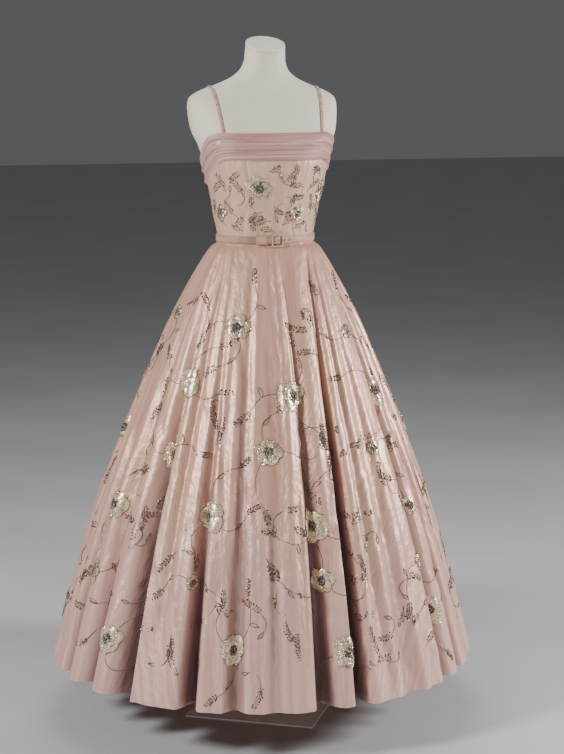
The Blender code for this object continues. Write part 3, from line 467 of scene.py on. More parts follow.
def silk_taffeta(name, deep, light, warm, metallic=0.3):
    """Taffeta: a crisp sheen, threads along and across, creases, warm patches where the weft shows, and
    painted shade where the painted_shade attribute marks a fold.
    """
    material, tree, shader = new_material(name, 0.4, metallic, Sheen_Weight=0.08, Sheen_Roughness=0.35)
    shader.inputs["Sheen Tint"].default_value = (1.0, 0.86, 0.80, 1)
    shader.inputs["Specular IOR Level"].default_value = 0.45
    cloth = cloth_coordinates(tree)
    warp = pattern(tree, cloth, (900, 14, 1), 3)
    weft = pattern(tree, cloth, (30, 1100, 1), 3)
    cloud = pattern(tree, cloth, (7, 2.6, 1), 4)
    streak = pattern(tree, cloth, (70, 2.2, 1), 3)
    ground = blend(tree, streak, deep, light, 0.32, 0.72)
    patches = blend(tree, cloud, light, warm, 0.44, 0.6)
    colour = mix(tree, 0.52, ground, patches)
    height = tree.nodes.new("ShaderNodeSeparateXYZ")
    tree.links.new(object_coordinates(tree), height.inputs["Vector"])
    low_down = blend(tree, height.outputs["Z"], (0.62, 0.62, 0.62), (0, 0, 0), 0.14, 0.62)
    rose = blend(tree, streak, (0.72, 0.43, 0.385), (0.92, 0.63, 0.575), 0.32, 0.72)
    colour = mix(tree, low_down, colour, rose)
    # Painted shade: the painted_shade point attribute multiplies the colour darker, deepest in the skirt's
    # folds and on the belt beside its free end
    painted_shade = tree.nodes.new("ShaderNodeAttribute")
    painted_shade.attribute_name = "painted_shade"
    hollow = blend(tree, painted_shade.outputs["Fac"], (1, 1, 1), (0.27, 0.255, 0.29), 0.10, 0.85)
    colour = mix(tree, 1.0, colour, hollow, "MULTIPLY")
    threads = blend(tree, warp, (0.86, 0.85, 0.85), (1, 1, 1), 0.3, 0.62)
    tree.links.new(mix(tree, 0.55, colour, threads, "MULTIPLY"), shader.inputs["Base Color"])
    vary_roughness(tree, shader, streak, 0.34, 0.5)
    rumple = pattern(tree, cloth, (18, 9, 1), 4)
    crease = pattern(tree, cloth, (16, 7, 1), 2, "RIDGED_MULTIFRACTAL")
    crinkle = pattern(tree, cloth, (75, 38, 1), 3)
    raise_surface(tree, shader, ((rumple, 0.6, 0.007), (crease, 0.35, 0.003), (crinkle, 0.7, 0.003),
                                 (warp, 0.12, 0.0003), (weft, 0.16, 0.0004)))
    return material


def organza(name):
    """Fine crisp organza in layers: long soft lines along the folds and a cool pink."""
    material, tree, shader = new_material(name, 0.55, Sheen_Weight=0.2, Sheen_Roughness=0.4)
    shader.inputs["Sheen Tint"].default_value = (1.0, 0.88, 0.86, 1)
    cloth = cloth_coordinates(tree)
    line = pattern(tree, cloth, (5, 330, 1), 4)
    broad = pattern(tree, cloth, (3, 60, 1), 3)
    weave = pattern(tree, cloth, (1500, 1500, 1), 1)
    ground = blend(tree, broad, (0.46, 0.225, 0.205), (0.74, 0.45, 0.40), 0.3, 0.66)
    lines = blend(tree, line, (0.66, 0.58, 0.58), (1, 1, 1), 0.34, 0.6)
    tree.links.new(mix(tree, 0.8, ground, lines, "MULTIPLY"), shader.inputs["Base Color"])
    raise_surface(tree, shader, ((broad, 0.7, 0.003), (line, 0.7, 0.0012), (weave, 0.1, 0.0002)))
    return material


def form_cover(name):
    """The form's plain off-white cover, slightly mottled and matt."""
    material, tree, shader = new_material(name, 0.62, Sheen_Weight=0.15)
    place = object_coordinates(tree)
    mottle = pattern(tree, place, (6, 6, 4), 4)
    grain = pattern(tree, place, (900, 900, 900), 2)
    colour = blend(tree, mottle, (0.76, 0.68, 0.54), (0.86, 0.79, 0.66), 0.3, 0.7)
    tree.links.new(colour, shader.inputs["Base Color"])
    raise_surface(tree, shader, ((mottle, 0.15, 0.003), (grain, 0.12, 0.0003)))
    return material


def speckled(name, low, high, roughness, metallic, scale, strength=0.15, **sockets):
    """A hard finish whose colour and roughness vary a little from place to place."""
    material, tree, shader = new_material(name, roughness, metallic, **sockets)
    spots = pattern(tree, object_coordinates(tree), (scale, scale, scale), 2)
    tree.links.new(blend(tree, spots, low, high, 0.35, 0.65), shader.inputs["Base Color"])
    vary_roughness(tree, shader, spots, roughness * 0.8, roughness * 1.25)
    raise_surface(tree, shader, ((spots, strength, 0.0004),))
    return material


SILK = silk_taffeta("silk_taffeta", (0.57, 0.27, 0.205), (0.81, 0.475, 0.365), (0.83, 0.565, 0.35))
BODICE_SILK = silk_taffeta("bodice_silk", (0.66, 0.36, 0.25), (0.85, 0.57, 0.41), (0.88, 0.68, 0.46))
BELT_SILK = silk_taffeta("belt_silk", (0.52, 0.275, 0.21), (0.66, 0.39, 0.305), (0.64, 0.42, 0.30), 0.0)
ORGANZA = organza("band_organza")
COVER = form_cover("form_cover_cloth")
SILVER_SEQUIN = speckled("silver_sequins", (0.66, 0.51, 0.33), (1.0, 0.86, 0.63), 0.26, 0.9, 300)
PETAL_CLOTH = speckled("petal_lame", (0.69, 0.53, 0.34), (0.99, 0.83, 0.60), 0.32, 0.5, 260, 0.5)
GOLD_BEAD = speckled("gold_beads", (0.42, 0.31, 0.14), (0.70, 0.55, 0.30), 0.3, 0.85, 300)
BRONZE_BEAD = speckled("bronze_beads", (0.075, 0.055, 0.042), (0.22, 0.17, 0.13), 0.34, 0.6, 300)
DARK_BEAD = speckled(
    "dark_green_beads", (0.02, 0.03, 0.024), (0.08, 0.10, 0.07), 0.22, 0.2, 300, Coat_Weight=0.6)
CRYSTAL = speckled("clear_stones", (0.55, 0.56, 0.55), (0.85, 0.86, 0.84), 0.1, 0.3, 200, Coat_Weight=0.8)
STEM_THREAD = speckled("stem_thread", (0.10, 0.075, 0.055), (0.26, 0.20, 0.15), 0.55, 0.15, 900)
STITCH_THREAD = speckled("stitch_thread", (0.26, 0.14, 0.11), (0.40, 0.23, 0.19), 0.6, 0.0, 900)
STAND_METAL = speckled("stand_metal_satin", (0.40, 0.385, 0.36), (0.56, 0.54, 0.51), 0.34, 0.9, 160)
PLATE_PAINT = speckled(
    "plate_paint_satin", (0.84, 0.81, 0.79), (0.92, 0.90, 0.88), 0.3, 0.0, 60, 0.05, Coat_Weight=0.3)


# Making pieces
def set_mode(mode):
    bpy.ops.object.mode_set(mode=mode)


def deselect():
    if bpy.context.object and bpy.context.object.mode != "OBJECT":
        set_mode("OBJECT")
    for thing in bpy.context.selected_objects:
        thing.select_set(False)


def select_all(action="SELECT"):
    bpy.ops.mesh.select_all(action=action)


def select_only(piece):
    deselect()
    piece.select_set(True)
    bpy.context.view_layer.objects.active = piece


def finish_piece(piece, name, material, slot, *nodes):
    """Name a piece, give it its finish, and let it stand for its solids."""
    piece.name = piece.data.name = name
    piece.data.materials.clear()
    piece.data.materials.append(material)
    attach(piece, "root")
    if nodes:
        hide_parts(*nodes)


def apply(piece, kind, **settings):
    modifier = piece.modifiers.new(kind.lower(), kind)
    for key, value in settings.items():
        setattr(modifier, key, value)
    bpy.context.view_layer.objects.active = piece
    bpy.ops.object.modifier_apply(modifier=modifier.name)


def round_edges(piece, width, segments):
    apply(piece, "BEVEL", width=width, segments=segments, limit_method="ANGLE")


def smooth(piece, angle):
    select_only(piece)
    bpy.ops.object.shade_smooth_by_angle(angle=radians(angle))


def apply_placing():
    bpy.ops.object.transform_apply(location=True, rotation=True, scale=True)


def select_by_normal(piece, chosen):
    """Leaves the piece in edit mode with the faces selected whose normal's height passes."""
    set_mode("EDIT")
    bpy.ops.mesh.select_mode(type="FACE")
    select_all("DESELECT")
    set_mode("OBJECT")
    for face in piece.data.polygons:
        face.select = chosen(face.normal.z)
    set_mode("EDIT")


def grid_piece(points, painted_shade=None):
    """A grid primitive laid on rows of points, with its texture map in metres of cloth."""
    rows, columns = points.shape[:2]
    deselect()
    bpy.ops.mesh.primitive_grid_add(x_subdivisions=columns - 1, y_subdivisions=rows - 1, size=1)
    piece = bpy.context.object
    piece.data.vertices.foreach_set("co", points.reshape(-1))
    across = np.linalg.norm(np.diff(points, axis=1), axis=2)
    down = np.linalg.norm(np.diff(points, axis=0), axis=2)
    u = np.concatenate([np.zeros((rows, 1)), np.cumsum(across, 1)], 1)
    u = u - u[:, columns // 2:columns // 2 + 1]
    v = np.concatenate([np.zeros((1, columns)), np.cumsum(down, 0)], 0)
    corners = np.empty(len(piece.data.loops), int)
    piece.data.loops.foreach_get("vertex_index", corners)
    map_points = np.stack([u.reshape(-1)[corners], v.reshape(-1)[corners]], 1)
    piece.data.uv_layers[0].data.foreach_set("uv", map_points.reshape(-1))
    # Painted shade, kept as a point attribute that darkens the colour
    if painted_shade is not None:
        marks = piece.data.attributes.new("painted_shade", "FLOAT", "POINT")
        marks.data.foreach_set("value", painted_shade.reshape(-1))
    piece.data.update()
    return piece


def closed_piece(points, angle, painted_shade=None):
    """A closed solid through rings of points: a grid joined along its seam, its ends filled."""
    piece = grid_piece(points, painted_shade)
    select_only(piece)
    set_mode("EDIT")
    select_all()
    bpy.ops.mesh.remove_doubles(threshold=MERGE_DISTANCE)
    select_all("DESELECT")
    bpy.ops.mesh.select_non_manifold()
    bpy.ops.mesh.edge_face_add()
    select_all()
    bpy.ops.mesh.normals_make_consistent(inside=False)
    set_mode("OBJECT")
    smooth(piece, angle)
    return piece


def cloth_piece(name, points, thickness, material, slot, node, middle_y=0.0, painted_shade=None):
    """A thin cloth shell on rows of points."""
    piece = grid_piece(points, painted_shade)
    face = piece.data.polygons[len(piece.data.polygons) // 2]
    if face.normal.dot(Vector((face.center.x, face.center.y - middle_y, 0))) < 0:
        piece.data.flip_normals()
    apply(piece, "SOLIDIFY", thickness=thickness, offset=-1.0, use_even_offset=False)
    smooth(piece, 60)
    finish_piece(piece, name, material, slot, node)


def fine_steps(first, last, step, edge):
    """Even steps with a few closer ones at both ends."""
    count = max(ceil((last - first) / step), 4)
    inner = np.linspace(first + 2 * edge, last - 2 * edge, count)
    return np.concatenate([[first, first + edge], inner, [last - edge, last]])


def rolled_edge(distance, reach=1.6 * MM, depth=0.9 * MM):
    """How far a sewn edge turns in, by the distance from it."""
    return depth * np.exp(-((distance / reach) ** 2) * 1.2)


# Skirt
def make_skirt():
    z = np.concatenate([
        [WAIST_Z, 1.102, 1.0965, 1.092, 1.087, 1.080], np.linspace(1.072, 0.95, 13),
        np.linspace(0.94, 0.14, 56), [0.134, 0.130, 0.1275, HEM_Z],
    ])[:, None]
    for name, first, last in SKIRT_PIECES:
        hem = fine_steps(first, last, 0.8, 0.16)[None, :]
        from_edge = np.minimum(hem - first, last - hem) * radians(1) * skirt_value("half_width", z)
        out = -rolled_edge(from_edge + SEAM_GAP * 0.5)
        out = out - 0.8 * MM * np.clip((0.131 - z) / 0.005, 0, 1)
        points = skirt_at(hem, z, out)
        points[:, 0] += (points[:, 1] - points[:, 0]) * SEAM_OPENING
        points[:, -1] += (points[:, -2] - points[:, -1]) * SEAM_OPENING
        # Painted shade: the deeper the fold, the darker the cloth's colour is painted
        depth = np.clip(furrow(hem, z) / FOLD_DEPTH_FOR_FULL_PAINTED_SHADE, 0, 1)
        cloth_piece(name + "_silk", points, SKIRT_SHELL, SILK, "silk", name, painted_shade=depth)


# Bodice and band
def make_bodice():
    low = WAIST_Z + SEAM_GAP
    rows = np.linspace(0, 1, 46)[:, None]
    share = fine_steps(0.0, 1.0, 0.016, 0.006)[None, :]
    for name, waist_from, waist_to, top_from, top_to in BODICE_PIECES:
        straight = top_from + (top_to - top_from) * share
        z = low + (neckline_z(straight) - low) * rows
        up = share_up(z)
        first = waist_from + (top_from - waist_from) * up
        last = waist_to + (top_to - waist_to) * up
        angle = first + (last - first) * share
        from_edge = np.minimum(share, 1 - share) * (last - first) * BODICE_PER_DEGREE
        points = bodice_at(angle, z, -rolled_edge(from_edge, 1.4 * MM, 0.7 * MM))
        cloth_piece(name + "_silk", points[::-1], BODICE_SHELL, BODICE_SILK, "silk", name,
                    0.02)


def band_profile(down, angle):
    """How far the band stands out at a share of its depth: each pleat swells and turns under."""
    down, angle = np.broadcast_arrays(down, angle)
    total = np.zeros(down.shape)
    for at, reach, slant, wave, phase, rise in PLEATS:
        edge = at + slant * sin_deg(angle) * 0.8 + wave * sin_deg(angle * 3.1 + phase)
        before = np.clip((edge - down) / reach, 0, 1)
        under = np.clip((down - edge) / 0.035, 0, 1)
        swell = np.where(down < edge, (1 - before) ** 1.2, (1 - under) ** 1.4)
        fade = 0.75 + 0.25 * sin_deg(angle * 2.3 + phase * 1.7)
        total = np.maximum(total, rise * fade * swell)
    rumple = 0.12 * sin_deg(angle * 11 + 260 * down)
    rumple = rumple + 0.10 * sin_deg(angle * 5 - 500 * down)
    total = total + rumple * (0.3 + np.abs(sin_deg(angle * 1.7)))
    return total * np.clip(down / 0.04, 0, 1) ** 0.5 * np.clip((1 - down) / 0.03, 0, 1) ** 0.5


def make_band():
    down = np.linspace(0, 1, 66)[:, None]
    for name, first, last in BAND_PIECES:
        angle = fine_steps(first, last, 1.5, 0.4)[None, :]
        z = neckline_z(angle) - band_height(angle) * down
        from_edge = np.minimum(angle - first, last - angle) * BAND_PER_DEGREE
        puff = BAND_INNER + 1.0 * MM + (BAND_RISE + BAND_SWELL) * band_profile(down, angle)
        puff = puff - 1.2 * MM * np.exp(-((from_edge / (2.5 * MM)) ** 2))
        sag = 0.8 * MM * sin_deg(angle * 3.7) * np.sin(pi * down)
        cloth_piece(name + "_organza", on_form(angle, z + sag, puff), BAND_SHELL, ORGANZA, "band_silk", name,
                    0.02)


# Straps
def angle_across(x, z):
    """The angle at which the form at the height z is that far across."""
    share = np.minimum(x / form_value("half_width", z), 1.0)
    return np.degrees(np.arcsin(share ** (form_value("squareness", z) / 2)))


def strap_half(band_x, band_z):
    """Angles and heights of half the strap's line, from the band to the shoulder's ridge."""
    slope = (SHOULDER_X - band_x) / (SHOULDER_Z - band_z)
    line = np.linspace(band_z, SHOULDER_BEND_Z, 14)
    spots = [(float(angle_across(band_x + slope * (z - band_z), z)), float(z)) for z in line]
    first_angle = spots[-1][0]
    for k in range(1, 15):
        angle = first_angle + (90 - first_angle) * k / 14
        low, high = SHOULDER_BEND_Z, SHOULDER_TOP_Z
        for _ in range(30):
            z = (low + high) / 2
            wide = form_value("half_width", z) * sin(radians(angle)) ** (2 / form_value("squareness", z))
            low, high = (z, high) if wide > band_x + slope * (z - band_z) else (low, z)
        spots.append((angle, low))
    return spots


def form_outwards(angle, z):
    round_form = on_form(angle + 0.5, z) - on_form(angle - 0.5, z)
    up_form = on_form(angle, z + 0.5 * MM) - on_form(angle, z - 0.5 * MM)
    away = np.cross(round_form, up_form)
    return away / np.linalg.norm(away)


def make_straps():
    front = strap_half(0.112, float(neckline_z(40)) - 2 * MM)
    behind = strap_half(0.100, float(neckline_z(138)) - 2 * MM)
    spots = front + [(180 - angle, z) for angle, z in reversed(behind[:-1])]
    lift = STRAP_GAP + STRAP_THICKNESS / 2
    middles = np.array([on_form(a, z) + form_outwards(a, z) * lift for a, z in spots])
    for side, mirror in (("left", 1), ("right", -1)):
        rings = []
        for i, (angle, z) in enumerate(spots):
            away = form_outwards(angle, z)
            along = middles[min(i + 1, len(spots) - 1)] - middles[max(i - 1, 0)]
            across = np.cross(along, away)
            across /= np.linalg.norm(across)
            ring = []
            for corner in range(17):
                turn = 2 * pi * corner / 16
                wide = STRAP_WIDTH / 2 * np.sign(cos(turn)) * abs(cos(turn)) ** 0.7
                rise = STRAP_THICKNESS / 2 * np.sign(sin(turn)) * abs(sin(turn)) ** 0.6
                ring.append(middles[i] + across * wide * 0.96 + away * rise * 0.8)
            rings.append(ring)
        piece = closed_piece(np.array(rings) * (mirror, 1, 1), 50)
        finish_piece(piece, f"strap_{side}_organza", ORGANZA, "band_silk", f"strap_{side}")


# Belt and buckle
def belt_lift(turned):
    """How far the lapped end lies above the belt's first layer and over the buckle's bar."""
    lap = 360 - turned
    climb = min(max(1 - lap / BELT_CLIMB_DEG, 0.0), 1.0)
    lift = (BELT_THICKNESS + SEAM_GAP) * (1 - cos(pi * climb)) / 2
    from_bar = abs(lap - (BUCKLE_DEG - BELT_START_DEG)) / BAR_BULGE_DEG
    return lift + (1.4 * MM + 2 * SEAM_GAP) * (1 + cos(pi * from_bar)) / 2 if from_bar < 1 else lift


def belt_point(angle, z, out):
    foot = on_form(angle, WAIST_Z, out)
    return Vector((foot[0], foot[1], z))


def belt_axes(angle, out, step):
    """The directions along the belt and out from it."""
    beside = (belt_point(angle + step, WAIST_Z, out) - belt_point(angle - step, WAIST_Z, out)).normalized()
    return beside, Vector((beside.y, -beside.x, 0))


def upright(at, beside, outwards):
    """The placing that stands a flat piece on the belt."""
    return Matrix.Translation(at) @ Matrix((beside, UP, outwards)).transposed().to_4x4()


def make_belt():
    whole = 360 + BELT_LAP_DEG
    rings, top_line, shade = [], [], []
    for turned in np.concatenate([np.linspace(0, 344, 130), np.linspace(345, whole, 60)]):
        inner = BELT_INNER + belt_lift(float(turned)) + 0.1 * MM
        outer = inner + BELT_THICKNESS - 0.2 * MM
        end_round = max((turned - whole + END_ROUND_DEG) / END_ROUND_DEG, 0.0)
        tab = min(max((turned - whole + TAB_DEG) / 0.6, 0.0), 1.0)
        half = BELT_HEIGHT / 2 + (1.3 * tab - 1.0) * MM - 2.6 * MM * end_round**2.5
        outer += TAB_RISE * tab
        angle = BELT_START_DEG - float(turned)
        rings.append([belt_point(angle, WAIST_Z + half * across, inner + (outer - inner) * depth)
                      for across, depth in BELT_OUTLINE])
        top_line.append((angle, outer, half))
        # Painted shadow: the belt is painted darker just past the free end's tip, where the lapped end's
        # shadow falls, fading further along
        past_end = max(float(turned) - BELT_LAP_DEG, 0.0)
        shade.append(BELT_PAINTED_SHADOW * np.exp(-past_end / BELT_PAINTED_SHADOW_REACH_DEG) if turned < 340 else 0.0)
    points = np.array(rings)
    piece = closed_piece(points, 50, np.repeat(shade, points.shape[1]))
    finish_piece(piece, "belt_silk_strip", BELT_SILK, "silk", "belt")
    return np.array(top_line)


def buckle_placing():
    beside, outwards = belt_axes(BUCKLE_DEG, BELT_INNER, 2)
    middle = belt_point(BUCKLE_DEG, WAIST_Z, BELT_INNER)
    under_bar = belt_point(BUCKLE_DEG - 5.2, WAIST_Z, BELT_INNER + 2 * BELT_THICKNESS + SEAM_GAP)
    seat = (under_bar - middle).dot(outwards) + SEAM_GAP
    return upright(middle + outwards * seat, beside, outwards)


def make_buckle_frame():
    """A frame from a flat block, opened by an inset and a bridge, its edges rounded as covered ones are."""
    deselect()
    bpy.ops.mesh.primitive_cube_add(size=1, location=(0, 0, 0))
    buckle = bpy.context.object
    set_mode("EDIT")
    bpy.ops.transform.resize(value=(BUCKLE_WIDTH, BUCKLE_HEIGHT, BUCKLE_THICKNESS))
    select_by_normal(buckle, lambda height: abs(height) > 0.9)
    bpy.ops.mesh.inset(thickness=BUCKLE_BAR, use_individual=True)
    bpy.ops.mesh.bridge_edge_loops()
    select_all()
    bpy.ops.mesh.normals_make_consistent(inside=False)
    bpy.ops.transform.translate(value=(0, 0, BUCKLE_THICKNESS / 2))
    set_mode("OBJECT")
    round_edges(buckle, 0.9 * MM, 4)
    buckle.data.transform(buckle_placing())
    smooth(buckle, 50)
    finish_piece(buckle, "buckle_frame_covered", BELT_SILK, "silk", "buckle_frame")


def make_prong():
    """A round pin, a little wider at its root, that rises over the frame's far side."""
    length = 13 * MM
    deselect()
    bpy.ops.mesh.primitive_cylinder_add(vertices=12, radius=0.9 * MM, depth=length, rotation=(0, pi / 2, 0))
    prong = bpy.context.object
    apply_placing()
    set_mode("EDIT")
    select_all()
    bpy.ops.mesh.bisect(plane_co=(0.003, 0, 0), plane_no=(1, 0, 0))
    set_mode("OBJECT")
    for vertex in prong.data.vertices:
        along = (vertex.co.x + length / 2) / length
        vertex.co.y *= 1.15 - 0.35 * along
        vertex.co.x += 7 * MM
        vertex.co.z += 3.35 * MM + 0.95 * MM * min(along * 1.5, 1)
    round_edges(prong, 0.3 * MM, 2)
    prong.data.transform(buckle_placing())
    smooth(prong, 50)
    finish_piece(prong, "buckle_prong_metal", STAND_METAL, "stand_metal", "buckle_prong")


def make_eyelets():
    for number, turn in enumerate((11.5, 17.5), 1):
        deselect()
        bpy.ops.mesh.primitive_cylinder_add(vertices=20, radius=2.1 * MM, depth=0.7 * MM)
        eyelet = bpy.context.object
        select_by_normal(eyelet, lambda height: height > 0.9)
        bpy.ops.mesh.inset(thickness=0.8 * MM)
        bpy.ops.mesh.extrude_region_move(TRANSFORM_OT_translate={"value": (0, 0, -0.45 * MM)})
        set_mode("OBJECT")
        round_edges(eyelet, 0.15 * MM, 2)
        out = BELT_INNER + belt_lift(360 + BELT_START_DEG - turn) + BELT_THICKNESS - 0.1 * MM
        beside, outwards = belt_axes(turn, out, 1)
        eyelet.data.transform(upright(belt_point(turn, WAIST_Z, out) + outwards * 0.3 * MM, beside, outwards))
        smooth(eyelet, 50)
        finish_piece(eyelet, f"eyelet_{number}", BRONZE_BEAD, "stand_metal")


# Form and stand
def tilted_ring(angles, below_top, inwards=0.0):
    """A ring on the neck's tilted top plane."""
    z = np.full(angles.shape, NECK_TOP_Z - below_top)
    tilt = radians(NECK_TILT_DEG)
    for _ in range(6):
        ahead = on_form(angles, z)[:, 1] - form_value("middle_y", NECK_TOP_Z)
        z = NECK_TOP_Z - below_top / cos(tilt) + tan(tilt) * ahead
    return on_form(angles, z, -inwards)


def form_piece(name, rings, node):
    points = np.array([np.concatenate([ring, ring[:1]]) for ring in rings])
    finish_piece(closed_piece(points, 35), name, COVER, "form_cover", node)


def make_form():
    angles = np.linspace(-180, 180, 129)[:-1]
    heights = np.concatenate([np.linspace(0.908, 1.40, 60), np.linspace(1.406, 1.508, 36)])
    rings = [on_form(angles, 0.900, -8 * MM), on_form(angles, 0.902, -3 * MM)]
    rings += [on_form(angles, z) for z in heights]
    lower = tilted_ring(angles, NECK_CAP_THICKNESS + 0.6 * MM)
    for share in (0.35, 0.7):
        rings.append(rings[-1] + (lower - rings[-1]) * share)
    rings += [lower, tilted_ring(angles, NECK_CAP_THICKNESS + 0.2 * MM, 1.2 * MM)]
    form_piece("form_torso_cover", rings, "form_torso")
    cap = [tilted_ring(angles, depth, inwards) for depth, inwards in (
        (NECK_CAP_THICKNESS, 1.0 * MM), (NECK_CAP_THICKNESS - 0.5 * MM, 0.0), (1.6 * MM, 0.0),
        (0.8 * MM, 0.25 * MM), (0.25 * MM, 0.8 * MM), (0.0, 1.8 * MM))]
    form_piece("form_neck_cap_cover", cap, "form_neck_cap")


def make_stand():
    middle = (0, 0, PLATE_THICKNESS / 2)
    deselect()
    bpy.ops.mesh.primitive_cube_add(size=1, location=middle)
    plate = bpy.context.object
    set_mode("EDIT")
    bpy.ops.transform.resize(value=(PLATE_SIDE, PLATE_SIDE, PLATE_THICKNESS), center_override=middle)
    set_mode("OBJECT")
    apply_placing()
    round_edges(plate, 0.9 * MM, 3)
    plate.data.transform(Matrix.Rotation(radians(PLATE_TURN_DEG), 4, "Z"))
    smooth(plate, 50)
    finish_piece(plate, "base_plate_painted", PLATE_PAINT, "plate_paint", "base_plate")
    for name, finish in (("pole", STAND_METAL), ("pole_collar", STAND_METAL), ("buckle_bar", BELT_SILK)):
        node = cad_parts[name]
        node.data.materials.clear()
        node.data.materials.append(finish)


# Embroidery: small pieces modelled once, then sewn on the cloth in joined meshes
ON_ITS_SIDE = (pi / 2, 0, 0)
SMALL_PIECES = {
    "leaf": (bpy.ops.mesh.primitive_uv_sphere_add,
             {"segments": 5, "ring_count": 3, "radius": 1, "rotation": ON_ITS_SIDE}, (1.6, 2.9, 1.0)),
    "round": (bpy.ops.mesh.primitive_ico_sphere_add, {"subdivisions": 1, "radius": 1}, (0.95, 0.95, 0.8)),
    "bugle": (bpy.ops.mesh.primitive_cylinder_add,
              {"vertices": 3, "radius": 1.15, "depth": 2, "rotation": ON_ITS_SIDE}, (0.8, 1.6, 0.7)),
    "sequin": (bpy.ops.mesh.primitive_cone_add,
               {"vertices": 5, "radius1": 1, "radius2": 0.62, "depth": 0.5}, (2.1, 2.1, 0.8)),
    "stone": (bpy.ops.mesh.primitive_cone_add,
              {"vertices": 6, "radius1": 1, "radius2": 0.45, "depth": 1.0}, (1.5, 1.5, 1.3)),
}
FINISHES = {
    "bronze_beads": (BRONZE_BEAD, "stand_metal"), "dark_beads": (DARK_BEAD, "stand_metal"),
    "gold_beads": (GOLD_BEAD, "stand_metal"), "sequins": (SILVER_SEQUIN, "stand_metal"),
    "stones": (CRYSTAL, "stand_metal"), "stems": (STEM_THREAD, "silk"),
}
PETAL_ROOT = 0.20
BEAD_LIFT, PETAL_LIFT = 0.35 * MM, 0.5 * MM
STEM_GAP, LEAF_GAP = 2.9 * MM, 2.6 * MM
SKIRT_HEART, BODICE_HEART, HEART_BEADS = 0.232, 0.29, 7760
SKIRT_FILLED, BODICE_FILLED = (0.24, 0.7, 0.42), 0.66
SPRIG_ROWS_APART, SPRIGS_APART, SPRIG_PAIRS_APART, CLEAR_OF_FLOWERS = 0.055, 0.104, 6.6 * MM, 0.042
STITCH_STEP_DEG, STITCH_INSET, STITCH_WIDE, STITCH_LONG = 1.75, 2.6 * MM, 0.6, 0.75


def take_shape(piece):
    """The points and faces of a small piece, which is then removed."""
    mesh = piece.data
    points = np.array([tuple(v.co) for v in mesh.vertices])
    faces = [tuple(p.vertices) for p in mesh.polygons]
    bpy.data.objects.remove(piece)
    bpy.data.meshes.remove(mesh)
    return points, faces


def small_piece(kind):
    """One bead, sequin or stitch about the origin, lying in the flat with its length along Y."""
    add, settings, size = SMALL_PIECES[kind]
    deselect()
    add(**settings)
    piece = bpy.context.object
    apply_placing()
    set_mode("EDIT")
    select_all()
    bpy.ops.transform.resize(value=[length * MM for length in size], center_override=(0, 0, 0))
    if kind == "leaf":
        bpy.ops.mesh.quads_convert_to_tris()
    set_mode("OBJECT")
    return take_shape(piece)


def petal_width(t):
    return sin(pi * min(t * 0.72 + 0.06, 1.0))


def petal_shape():
    """A petal from a grid, its root narrowed and its tip rounded and cupped, as a thin closed shell."""
    deselect()
    bpy.ops.mesh.primitive_grid_add(x_subdivisions=5, y_subdivisions=5, size=1)
    piece = bpy.context.object
    for vertex in piece.data.vertices:
        t = vertex.co.y + 0.5
        side = vertex.co.x * 2
        vertex.co.x = side * (0.10 + 0.36 * petal_width(t) ** 0.9)
        vertex.co.y = t * (1 - 0.13 * side * side * t) + 0.02 * cos(side * 9) * t
        cupped = 0.11 * sin(pi * t) * (1 - 0.3 * side * side) + 0.05 * t * t
        vertex.co.z = cupped + 0.022 * cos(side * 8) * t
    apply(piece, "SOLIDIFY", thickness=0.012, offset=-1.0)
    return take_shape(piece)


def repeat_faces(faces, size, copies, first=0):
    """The faces of many copies of a shape with that many points."""
    return [tuple(first + n * size + i for i in face) for n in range(copies) for face in faces]


def joined_piece(name, points, faces, material, slot, angle):
    mesh = bpy.data.meshes.new(name)
    mesh.from_pydata(points.tolist(), [], faces)
    piece = bpy.data.objects.new(name, mesh)
    bpy.context.scene.collection.objects.link(piece)
    smooth(piece, angle)
    finish_piece(piece, name, material, slot)


def polar(reach, turn, start=(0, 0)):
    return start[0] + reach * cos(turn), start[1] + reach * sin(turn)


def on_heading(along, across, turn, start=(0, 0)):
    """The place that far along a heading and across it, on the flat cloth."""
    c, s = cos(turn), sin(turn)
    return start[0] + along * c - across * s, start[1] + along * s + across * c


def left_or_right(rng):
    return 1 if rng.random() > 0.5 else -1


